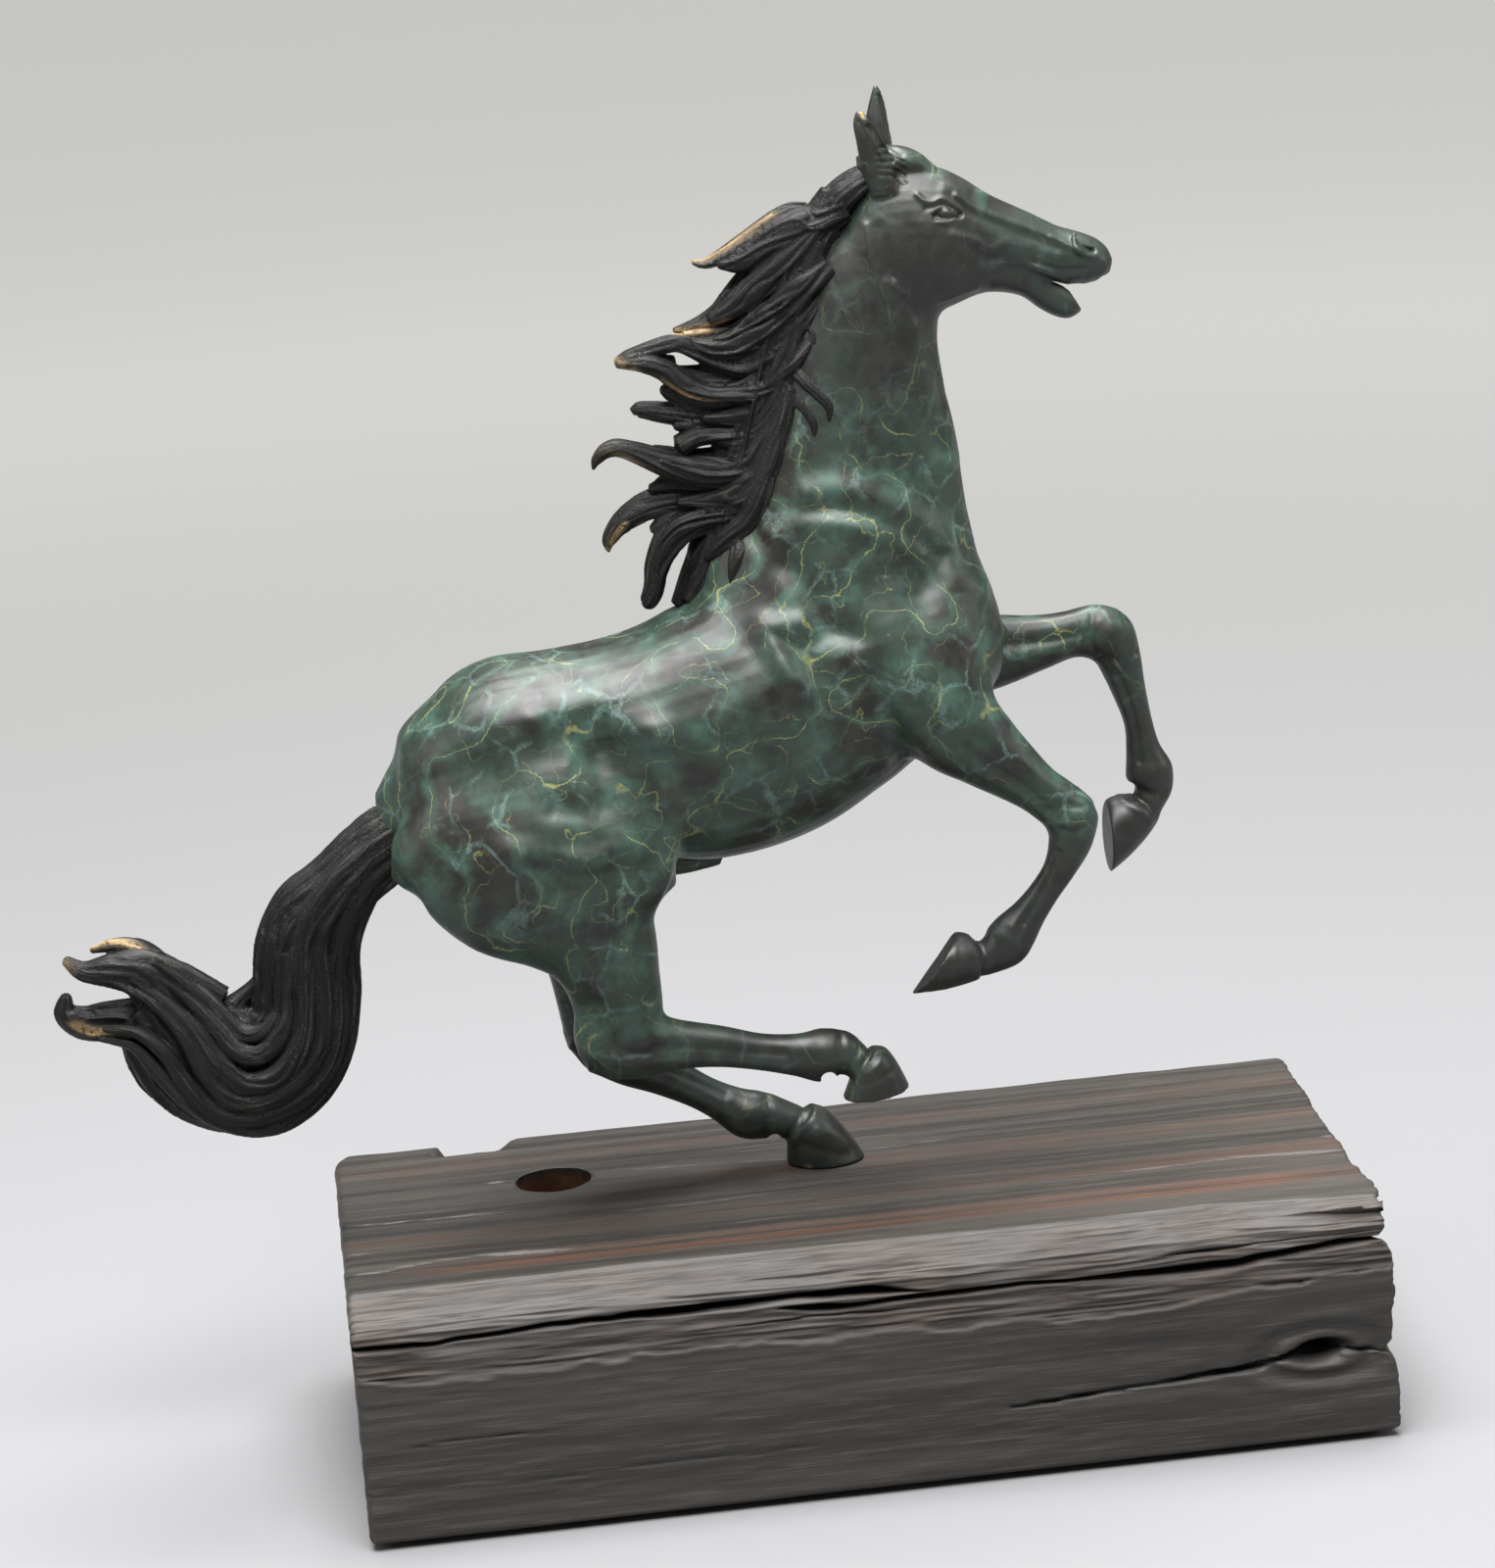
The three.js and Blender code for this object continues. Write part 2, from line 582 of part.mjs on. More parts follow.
// ---- fixings ------------------------------------------------------------------------------------
const washerTop = PAD_HEIGHT + COUNTERBORE_DEPTH - GAP;
const washerBottom = washerTop - WASHER_THICKNESS;
const nutTop = washerBottom - GAP;
const nutBottom = nutTop - NUT_THICKNESS;
const studBottom = nutBottom - 3;
const bore = column(STUD_DIAMETER + 2 * GAP, HOOF_AT, 0, BLOCK_TOP, 20);
const stud = column(STUD_DIAMETER, HOOF_AT, studBottom, studTop, 20);
const washer = column(WASHER_DIAMETER, HOOF_AT, washerBottom, washerTop, 28).subtract(bore);
const nut = column(NUT_ACROSS_CORNERS, HOOF_AT, nutBottom, nutTop, 6).subtract(bore);

const padX = BLOCK_LENGTH / 2 - PAD_INSET;
const padY = BLOCK_WIDTH / 2 - PAD_INSET;
const PAD_CENTRES = [
  [-padX, -padY],
  [padX, -padY],
  [padX, padY],
  [-padX, padY],
];

// ---- the statue ---------------------------------------------------------------------------------
const statue = new THREE.Group();
statue.name = "bronze_horse_statue";
statue.add(piece("torso_casting", torso, bronze));
statue.add(piece("neck_casting", neckCasting, bronze));
statue.add(piece("head_casting", headCasting, bronze));
statue.add(piece("mane_upper_casting", maneUpper, darkBronze));
statue.add(piece("mane_lower_casting", maneLower, darkBronze));
statue.add(piece("tail_casting", tail, darkBronze));
statue.add(piece("foreleg_right_casting", legs.foreRight.casting, bronze));
statue.add(piece("foreleg_left_casting", legs.foreLeft.casting, bronze));
statue.add(piece("hindleg_right_casting", legs.hindRight.casting, bronze));
statue.add(piece("hindleg_left_casting", legs.hindLeft.casting, bronze));
statue.add(piece("mounting_stud", stud, steel));
statue.add(piece("stud_washer", washer, steel));
statue.add(piece("stud_nut", nut, steel));
statue.add(piece("wood_block", block, timber));
PAD_CENTRES.forEach((centre, i) => {
  statue.add(piece(`foot_pad_${i + 1}`, column(PAD_DIAMETER, centre, 0, PAD_HEIGHT, 28), felt));
});

// The origin goes to the middle of the statue's own box, on the resting plane.
const box = new THREE.Box3().setFromObject(statue);
const middle = box.getCenter(new THREE.Vector3());
for (const mesh of statue.children) mesh.geometry.translate(-middle.x, -middle.y, -box.min.z);

export default statue;
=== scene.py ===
# The looks of the bronze horse on its timber block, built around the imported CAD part.
# Lengths in this script are millimetres in the block's own frame, the one the CAD is drawn in: the
# block's middle at x = y = 0, the resting plane at z = 0, the horse facing +X. place() turns them
# into the row frame's metres.
import math

import bmesh
import bpy
import numpy as np
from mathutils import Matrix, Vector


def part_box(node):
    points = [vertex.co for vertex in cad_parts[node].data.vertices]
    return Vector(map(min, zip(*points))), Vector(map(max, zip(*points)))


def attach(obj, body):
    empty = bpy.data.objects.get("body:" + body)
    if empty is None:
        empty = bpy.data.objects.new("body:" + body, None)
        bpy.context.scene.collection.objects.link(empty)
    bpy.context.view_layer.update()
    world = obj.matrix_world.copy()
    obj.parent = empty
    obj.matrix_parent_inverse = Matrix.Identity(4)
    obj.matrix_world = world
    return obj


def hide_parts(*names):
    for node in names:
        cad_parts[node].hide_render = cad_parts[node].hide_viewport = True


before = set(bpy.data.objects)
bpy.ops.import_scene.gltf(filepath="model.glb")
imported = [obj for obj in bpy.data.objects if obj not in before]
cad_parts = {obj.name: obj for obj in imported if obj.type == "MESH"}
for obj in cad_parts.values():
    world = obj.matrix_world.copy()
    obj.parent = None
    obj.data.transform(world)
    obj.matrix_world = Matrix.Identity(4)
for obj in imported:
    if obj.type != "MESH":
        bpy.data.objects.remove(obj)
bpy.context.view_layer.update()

import openvdb as vdb
from mathutils import Matrix, Vector
from mathutils.kdtree import KDTree

BLOCK_LOW, BLOCK_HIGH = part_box("wood_block")
SHIFT_X = (BLOCK_LOW.x + BLOCK_HIGH.x) * 500  # row x in mm minus this script's x
COARSE = 1.0
FAR = 14.0  # the distance given to places far from every part

# ---- lofts: [x, z, y, half depth in the x-z plane, half width across it], then degrees if it turns -
TRUNK = [
    [-177, 289, 0, 12, 12], [-168, 289, 0, 28.5, 26], [-148, 291, 0, 41, 38], [-126, 295, 0, 49, 43],
    [-100, 299, 0, 47, 43], [-75, 302, 0, 47, 43], [-48, 304.5, 0, 53, 44], [-20, 311, 0, 54.5, 44],
    [8, 321, 0, 50, 42], [34, 330, 0, 43.5, 39], [56, 334, 0, 38, 35], [71, 335, 0, 30, 28],
    [80, 335, 0, 18, 17], [83, 335, 0, 7, 7],
]
NECK = [
    [8, 318, 0, 56, 33], [13, 345, 0, 58, 33], [18, 370, 0, 58, 30], [22, 396, 0, 51, 26],
    [26, 420, 0, 44.5, 23], [29, 444, 0, 38, 21], [34, 468, 0, 31.5, 19], [42, 490, 0, 27, 17],
    [52, 507, 0, 20, 13],
]
HEAD = [
    [34, 500, 0, 15, 11], [44, 502, 0, 28, 15], [58, 502, 0, 31, 17.5], [72, 500, 0, 27.5, 17],
    [86, 497.5, 0, 20.5, 13.5], [99, 494.5, 0, 16.5, 11], [112, 491, 0, 13, 10],
    [123, 489, 0, 10.8, 10.5], [130, 486.6, 0, 9.4, 9.6], [134.5, 484.2, 0, 6.4, 7.2],
    [136.6, 482.6, 0, 2.6, 3.4],
]
LOWER_JAW = [
    [92, 487, 0, 8, 9], [104, 481, 0, 7, 8], [112, 475, 0, 7.2, 7.5], [118, 471.2, 0, 6.8, 7.6],
    [122, 469.8, 0, 5.4, 6.8], [124.4, 469, 0, 3, 4.4],
]
FORELOCK = [
    [40, 530, 0, 9, 9], [50, 535, 0, 6.5, 9], [59, 533, 0, 5.5, 8], [66, 530, 0, 2.5, 5],
]
EAR_RIGHT = [
    [45, 524, -8, 6, 5], [43, 535.5, -9.8, 6.8, 4.6], [40, 546, -11, 5.2, 3.6],
    [37.6, 552.5, -11.4, 3.6, 2.6], [36.8, 557, -11.3, 1.5, 1.3],
]
EAR_LEFT = [
    [45, 524, 8, 6, 5], [46, 538, 9.5, 6.6, 4.6], [47, 551, 10.5, 4.8, 3.4], [47.4, 559.5, 11, 2.8, 2.2],
    [47.2, 564.5, 11, 0.9, 0.9],
]
DOCK = [
    [-150, 284, 0, 20, 18], [-167, 279, 0, 15, 14], [-178, 271.5, 0, 11, 10.5], [-185, 266, 0, 8.5, 9],
]
SHEATH = [
    [-92, 266, 0, 10, 8], [-76, 253, 0, 6, 7], [-60, 249.5, 0, 4.5, 5.5], [-42, 250.5, 0, 3, 4],
]
HAUNCH_RIGHT = [
    [-177, 264, -27, 6, 6], [-168, 267, -28, 21, 15], [-152, 268, -30, 35, 20],
    [-132, 267, -31, 43, 22], [-112, 265, -31.5, 45, 22], [-94, 261, -31, 41, 21],
    [-79, 257, -30, 30, 18.5], [-69, 252, -29, 16, 13], [-65, 250, -29, 5, 5],
]
GASKIN_RIGHT = [
    [-108, 262, -31, 32, 18], [-103, 242, -31, 30, 18.5], [-96, 225, -30.5, 24, 16.5],
    [-92.5, 211, -29.5, 20, 14.5], [-91, 197, -29, 18.5, 11.5], [-92.5, 184, -29, 18, 9.5],
    [-93, 177, -29, 12, 7],
]
HIND_CANNON_RIGHT = [
    [-106, 180, -29, 8, 6], [-97, 180.5, -29, 12.5, 8.5], [-82, 181, -29, 14, 9.5],
    [-66, 179.5, -29, 10.5, 8], [-50, 177, -29, 8.8, 6.8], [-34, 173, -29, 7.8, 6.4],
    [-19, 170, -29, 9, 7], [-8, 168.5, -29, 11.5, 8.5], [0, 168.5, -29, 10, 8], [7, 164, -29, 7.2, 7.2],
    [11.5, 159.5, -29, 7.5, 7.5],
]
HIND_HOOF_RIGHT = [
    [9.5, 164.5, -29, 8, 8.2, -46], [12, 161.5, -29, 10.5, 11, -58], [14, 150, -29, 14.3, 13, -84],
]
GASKIN_LEFT = [
    [-110, 260, 31, 32, 18], [-105, 238, 31, 29, 18.5], [-99, 219, 30.5, 23.5, 16.5],
    [-96.5, 202, 29, 20, 14], [-95.5, 186, 28, 18, 11], [-95, 173, 28, 16, 9.5], [-94, 166, 28, 10, 7],
]
HIND_CANNON_LEFT = [
    [-108, 171, 28, 6, 6], [-98, 166.5, 28, 12, 8.5], [-84, 158, 28, 12.5, 9], [-70, 149, 28, 9.5, 7.8],
    [-56, 140, 28, 7.8, 6.6], [-45, 133, 28, 8.6, 7], [-36, 127.5, 28, 10.8, 8.5],
    [-28, 125.5, 28, 10.2, 8.2], [-19, 122.5, 28, 8.2, 7.8], [-11, 118, 28, 8, 8],
]
HIND_HOOF_LEFT = [
    [-12.5, 122.5, 28, 8.6, 8.6, -48], [-9.5, 118.5, 28, 11.3, 11.3, -60],
    [-3, 103.3, 28, 16.8, 13.5, -90],
]
FOREARM_RIGHT = [
    [34, 344, -17, 26, 15], [44, 325, -24, 26, 17], [57, 305, -28, 21, 15], [69, 293, -29, 16.5, 12.5],
    [80, 283, -29, 13, 10.5], [90, 274, -29, 10.5, 9], [98, 267, -29, 10.5, 8.5],
    [104, 261, -29, 9.5, 8],
]
FORE_CANNON_RIGHT = [
    [106, 268, -29, 7, 7], [104.5, 261, -29, 10.5, 9], [102.5, 250, -29, 9.2, 8],
    [97.5, 239, -29, 6.8, 6.2], [91, 230, -29, 6.2, 5.8], [84, 221.5, -29, 7.2, 6.2],
    [77, 213.5, -29, 9.6, 7.6], [72, 208, -29, 10, 8], [65, 204, -29, 7.6, 7.4], [57, 203.5, -29, 8, 8],
]
FORE_HOOF_RIGHT = [
    [60, 203.5, -29, 8.6, 8.6, 182], [56, 204, -29, 10.5, 11, 174], [41, 203.3, -29, 15, 13, 140],
]
FOREARM_LEFT = [
    [44, 330, 20, 25, 15], [60, 323, 26, 22, 15], [76, 320.5, 28, 17.5, 13], [90, 321, 29, 14.8, 11.5],
    [104, 322.5, 29, 11.8, 9.5], [117, 324.5, 29, 10, 8.5], [128, 325, 29, 11.5, 8.8],
    [136, 324, 29, 9, 8],
]
FORE_CANNON_LEFT = [
    [129, 330, 29, 6, 7], [133.5, 324, 29, 10.8, 9], [137.5, 313, 29, 9.6, 8.2],
    [141, 299, 29, 7.4, 6.4], [144.5, 284, 29, 6, 5.8], [146, 272, 29, 7.4, 6.4],
    [148, 262, 29, 10.2, 8], [149, 255, 29, 9, 7.6], [147, 249, 29, 7.4, 7.4], [143, 243, 29, 7.4, 7.6],
]
FORE_HOOF_LEFT = [
    [144.5, 248.5, 29, 8.2, 8.4, 236], [142, 245, 29, 10.2, 10.8, 226], [128.5, 234, 29, 15, 13, 180],
]
MANE_LOCKS = [
    # topmost lock
    [[29, 519, -1, 7, 11], [16.5, 513, -1, 6, 9], [4.5, 513, -1, 6, 7], [-26, 501, -1, 2, 4],
     [-34, 501, -1, 1, 2]],
    # second lock
    [[26, 509.5, 2, 7, 12], [3.5, 499.5, 2, 8, 8], [-18.5, 482.5, 2, 5.5, 6], [-29.5, 476.5, 2, 3, 5],
     [-43.5, 473.5, 2, 1, 2]],
    # fill under it
    [[21, 496, -3, 7, 13], [11, 488.5, -3, 8, 10], [0.5, 478.5, -3, 8, 8], [-11, 471, -3, 7, 7],
     [-22.5, 466, -3, 5.5, 6], [-32, 467, -3, 3.5, 5], [-37.5, 469.5, -3, 1.5, 3]],
    # third lock, over its gap
    [[18, 484, -2, 6, 13], [6, 472, -2, 6.5, 10], [-7, 461, -2, 6, 8], [-19, 458, -2, 4.5, 6],
     [-35.5, 466, -2, 3.5, 5], [-45, 469, -2, 3, 4.5], [-62, 465.5, -2, 2.5, 4],
     [-68.5, 463, -2, 1.5, 3]],
    # third lock, under its gap
    [[13, 469, -4, 6, 13], [2.5, 455.5, -4, 6, 10], [-10.5, 448, -4, 5.5, 7], [-22.5, 447, -4, 3.5, 6],
     [-33.5, 448.5, -4, 3, 5.5], [-42.5, 453, -4, 4, 5], [-49.5, 459, -4, 4, 5],
     [-57.5, 462.5, -4, 3.5, 4.5], [-68.5, 463, -4, 1.5, 3]],
    # short blunt lock
    [[9.5, 459, 2, 6, 13], [-1.5, 446.5, 2, 6, 10], [-13, 437.5, 2, 6, 7], [-24, 435.5, 2, 5.5, 6],
     [-58, 442, 2, 3, 4], [-61, 442, 2, 1.5, 3]],
    # strand over the second gap
    [[2, 445.5, -2, 5.5, 11], [-8.5, 434.5, -2, 5, 8], [-19, 430.5, -2, 3.5, 6], [-37, 430, -2, 3.5, 5],
     [-45.5, 426.5, -2, 4, 5]],
    # long hooked lock
    [[3.5, 441, -4, 5.5, 12], [-6, 427, -4, 6, 9], [-16, 418, -4, 6, 7], [-27.5, 414.5, -4, 6, 6],
     [-38.5, 415.5, -4, 6, 6], [-49, 419, -4, 5, 5.5], [-67, 427.5, -4, 3.5, 4.5],
     [-74.5, 428, -4, 3, 4], [-79.5, 424.5, -4, 2, 3], [-81.5, 420.5, -4, 0.5, 1.5]],
    # sixth lock
    [[-1.5, 424.5, 2, 5.5, 11], [-12.5, 409.5, 2, 5.5, 8], [-22.5, 404, 2, 5, 7], [-35, 403, 2, 5, 6],
     [-47, 404, 2, 5, 5.5], [-58, 402.5, 2, 5, 5], [-67, 399, 2, 4.5, 4.5], [-73.5, 394, 2, 3.5, 4],
     [-77, 389, 2, 2.5, 3], [-77.5, 384.5, 2, 0.5, 1.5]],
    # blunt lock at the withers
    [[-10.5, 410, -3, 4.5, 11], [-18.5, 401, -3, 4.5, 9], [-28.5, 397, -3, 4.5, 7],
     [-39.5, 395.5, -3, 5, 6], [-49, 391.5, -3, 5.5, 5.5], [-55, 384.5, -3, 5, 5],
     [-58.5, 376.5, -3, 4, 4.5], [-60, 369, -3, 3.5, 4.5], [-63, 363, -3, 3, 4],
     [-64.5, 361, -3, 1.5, 3]],
    # strand behind the last gap
    [[-15.5, 401, 3, 4, 10], [-36.5, 384, 3, 4, 7], [-43, 375, 3, 3.5, 5.5], [-50.5, 359.5, 3, 2.5, 4]],
    # roots at the withers
    [[-11, 399.5, 0, 3.5, 10], [-24.5, 381, 0, 5, 8], [-31, 363, 0, 3.5, 7]],
]
TAIL = [
    [-162, 281, 0, 8, 8], [-175, 273.5, 0, 13.5, 11.5], [-187, 265.5, 0, 13.8, 12],
    [-201, 254.5, -1, 13.5, 12.5], [-213, 243, -1, 16, 13], [-219.5, 229, -1, 17, 13],
    [-221, 213, 0, 17.5, 13.5], [-223, 198, 1, 20, 14], [-233, 184, 2, 25, 14],
    [-250, 179.5, 2, 24, 13.5], [-266, 188, 2, 24, 12.5], [-279, 202, 2, 20, 11], [-288, 212, 2, 13, 9],
]
TAIL_TIPS = [
    [[-272, 200, 2, 16, 10], [-288, 203, 3, 11, 8], [-301, 205.5, 3, 8, 6.5],
     [-312, 206.5, 2, 6.5, 5.5], [-319, 212, 1, 4.5, 4.5], [-318, 219.5, 0, 1.8, 2.5]],
    [[-262, 204, 0, 14, 9], [-276, 218, -2, 12, 7], [-286, 227, -3, 9, 6], [-297, 229, -3, 6.5, 5],
     [-309, 229.5, -2, 4, 4], [-317, 235, -1, 1.8, 2.2]],
    [[-276, 222, 2, 6, 5], [-285, 234, 3, 4.5, 4], [-295, 238, 3, 2.8, 3], [-306, 237, 3, 1.2, 1.6]],
]
TAIL_BRIDGE = [
    [-226, 228, 2, 6, 5], [-236, 217.5, 3, 3.6, 3.5], [-245, 210.5, 3, 3.4, 3.5], [-258, 200, 2, 7, 6],
]

# Muscles, creases and bones seen from the side: what it is, height, half width, then x, z.
MUSCLE_LINES = [
    ("neck_base_upper", 2, 3, [[4, 405], [16, 406], [30, 401], [43, 393], [65, 370], [72, 358]]),
    ("neck_base_lower", 2, 2.6, [[-12, 383], [-9, 389], [-2, 393], [10, 394], [27, 390], [40, 383],
        [60, 364]]),
    ("neck_base_groove", -1.2, 2, [[6, 399], [16, 399], [27, 395], [42, 387], [56, 375]]),
    ("withers_crease", -1.8, 2.2, [[-21, 398], [-18, 388], [-5, 375], [8, 353], [18, 348]]),
    ("shoulder_bulge", 2.2, 9, [[17, 376], [31, 362], [35, 349]]),
    ("breast_bulge", 1.8, 8, [[62, 352], [62, 338], [55, 328]]),
    ("breast_groove", -1.2, 3, [[52, 370], [45, 356], [45, 340], [50, 325]]),
    ("triceps_ridge", 2.4, 2.4, [[-4, 353], [-13, 353], [-18, 351], [-7, 330]]),
    ("triceps_hollow", -1.4, 3, [[2, 349], [-5, 345], [-1, 334]]),
    ("girth_crease", -3, 2.4, [[22, 329], [36, 293]]),
    ("elbow_bulge", 1.6, 6, [[37, 319], [45, 308]]),
    ("back_ridge", 1.8, 5, [[-87, 333], [-44, 349], [-35, 357], [-9, 366]]),
    ("back_hollow", -1, 5, [[-110, 337], [-89, 340], [-56, 350]]),
    ("hip_ridge", 2.2, 3, [[-115, 324], [-108, 328], [-91, 329], [-88, 322], [-67, 316]]),
    ("hip_hollow", -2.2, 4.5, [[-112, 318], [-92, 321], [-92, 310]]),
    ("rib_ridge", 1.6, 5, [[-67, 315], [-55, 315], [-40, 320], [-13, 333]]),
    ("flank_groove", -2.2, 5, [[-89, 316], [-76, 309], [-40, 282]]),
    ("flank_fold", -2.6, 4, [[-89, 310], [-85, 280], [-75, 263]]),
    ("belly_bulge", 1.2, 9, [[-71, 281], [-41, 272]]),
    ("stifle_ridge", 2.2, 3, [[-132, 275], [-120, 274], [-109, 270], [-97, 269], [-86, 272], [-80, 267]]),
    ("stifle_crease", -1.6, 2.6, [[-121, 267], [-96, 261], [-84, 263], [-78, 261]]),
    ("thigh_band", 1.6, 3.5, [[-114, 284], [-92, 282]]),
    ("thigh_crease", -2, 3, [[-111, 290], [-103, 288], [-94, 288]]),
    ("thigh_crease_low", -1.2, 3, [[-116, 279], [-93, 277]]),
    ("thigh_hollow", -2.4, 9, [[-141, 305], [-150, 288]]),
    ("croup_ridge", 1.4, 6, [[-157, 316], [-132, 321], [-120, 327]]),
    ("croup_ridge_2", 1.2, 5, [[-142, 329], [-119, 331]]),
    ("gaskin_groove", -1.2, 3.5, [[-95, 248], [-92, 222]]),
    ("buttock_hollow", -1.2, 7, [[-172, 276], [-167, 268]]),
    ("lid_fold", 0.9, 0.8, [[58, 522], [60.5, 519.5], [64, 518.5], [68, 519.5], [74.5, 515]]),
    ("lid_under", -0.7, 0.8, [[61, 516.5], [68.5, 517.5], [71.5, 515.5]]),
    ("lower_lid", 0.5, 0.8, [[63.5, 512.5], [67.5, 510.5], [72, 511.5], [74, 513]]),
    ("brow", 0.8, 1.6, [[69.5, 523.5], [73.5, 522.5], [77.5, 520]]),
    ("face_crest", 0.8, 1.6, [[71.5, 505], [79.5, 501.5], [85.5, 497.5], [92, 498.5]]),
    ("cheek_front", -0.6, 1.6, [[80.5, 497.5], [85.5, 493.5], [92, 493]]),
    ("nasal_ridge", 0.7, 1, [[74, 520], [83, 513.5], [117.5, 497], [124, 493]]),
    ("nasal_groove", -0.6, 1.6, [[76.5, 515], [95, 504], [105, 499.5], [114, 495]]),
    ("alar_ridge", 0.5, 0.9, [[112.5, 499], [128.5, 490], [131.5, 491]]),
    ("lip_ridge", 0.7, 1, [[91, 491], [98, 490.5], [105.5, 488.5], [116, 482]]),
    ("lip_groove", -0.6, 1.2, [[95, 488], [102.5, 486], [113, 480.5]]),
    ("cheek_disc", 1, 7, [[55.5, 500], [57.5, 496.5]]),
    ("cheek_rear", 0.9, 1.4, [[43.5, 488.5], [46.5, 485], [52.5, 481.5], [62.5, 478.5], [80.5, 482]]),
    ("cheek_groove", -1, 1.6, [[41.5, 510], [43, 498], [45, 490.5]]),
    ("wing_ridge", 0.9, 1.6, [[36, 511], [36.5, 504], [38, 496], [42, 482]]),
    ("throat_ridge", 0.6, 1.4, [[47, 481.5], [53, 470]]),
    ("neck_front_ridge", 1.1, 2, [[53, 468], [57, 445], [67, 412]]),
    ("neck_front_groove", -0.9, 2, [[59, 461], [64, 438], [59, 429], [62, 417]]),
    ("ear_crease", -0.7, 0.7, [[36.5, 553.5], [41, 542.5], [45, 535.5]]),
]
# Details: [x, z, y, half depth, half width].
MOUTH = [
    [112, 480.8, 0, 0.4, 13], [116, 479.2, 0, 0.6, 14], [119, 477.8, 0, 0.9, 14], [121, 476.8, 0, 1.8, 14],
    [123.5, 475, 0, 3.4, 14], [127, 472.8, 0, 5.6, 14], [133, 470.5, 0, 8.2, 14],
]
TONGUE = [[106, 479.5, 0, 3, 4.5], [114, 475.8, 0, 2.6, 4.5], [119, 473.5, 0, 1.6, 3.5]]
EYE_SOCKET = [[63.5, 512.6, -15.6, 1.2, 1.6], [69.5, 513.8, -16.2, 2.9, 2.6], [75.5, 512.6, -14.6, 1.2, 1.6]]
EYEBALL = [[66.4, 513.3, -12.8, 2.0, 2.0], [69.8, 513.6, -13.0, 3.1, 3.0], [73.2, 513.0, -12.2, 2.0, 2.0]]
NOSTRIL = [
    [123.6, 498.2, -9.2, 0.9, 1.6], [124.9, 495.4, -10.2, 1.3, 2.2], [127.2, 493.2, -9.6, 1.3, 2.2],
    [130, 492.2, -7.6, 0.9, 1.6],
]
NOSTRIL_RIM = [
    [122.2, 500, -7.4, 0.9, 1], [122, 496.5, -9.2, 1, 1.2], [123.6, 492.9, -9.9, 1, 1.2],
    [127, 490.6, -9.4, 0.9, 1.1], [130.5, 490.2, -7.6, 0.7, 0.9],
]
EAR_CUP = [
    [50.5, 536, -10.5, 1.8, 2.2], [47, 541, -12.4, 2.2, 2.2], [43.2, 547, -13.2, 2.0, 1.9],
    [39.6, 552, -13.0, 1.0, 1.0],
]
FAR_EAR_CUP = [
    [52.5, 541, 7.5, 2, 2.4], [51.6, 548, 8.2, 2.6, 2.8], [50.4, 555, 9, 2.1, 2.2], [48.6, 561, 10, 1, 1],
]
# Rounded notches behind the fetlocks, running across the legs: x, z, y, radius, and how much wider
# they are 15 mm to either side.
FETLOCKS = [
    (61.6, 214.5, -29, 3.0, 0.4), (-6, 159.6, -29, 3.0, 0.4), (138.6, 254.6, 29, 3.2, 0.4),
    (-25, 116, 28, 2.4, 0.2),
]
FETLOCK_NOTCHES = [
    [[x, z, y + 15 * k, radius + flare * abs(k), radius + flare * abs(k)] for k in (-1, 0, 1)]
    for x, z, y, radius, flare in FETLOCKS
]
# Soles: a point, the way the sole faces, and the box it cuts in.
SOLES = [
    ([41, -29, 203.3], [-0.74, 0.36, 0.57], [[24, -50, 180], [58, -8, 222]]),
    ([127.6, 29, 234], [-1, 0.04, 0.03], [[118, 8, 212], [131, 50, 254]]),
]
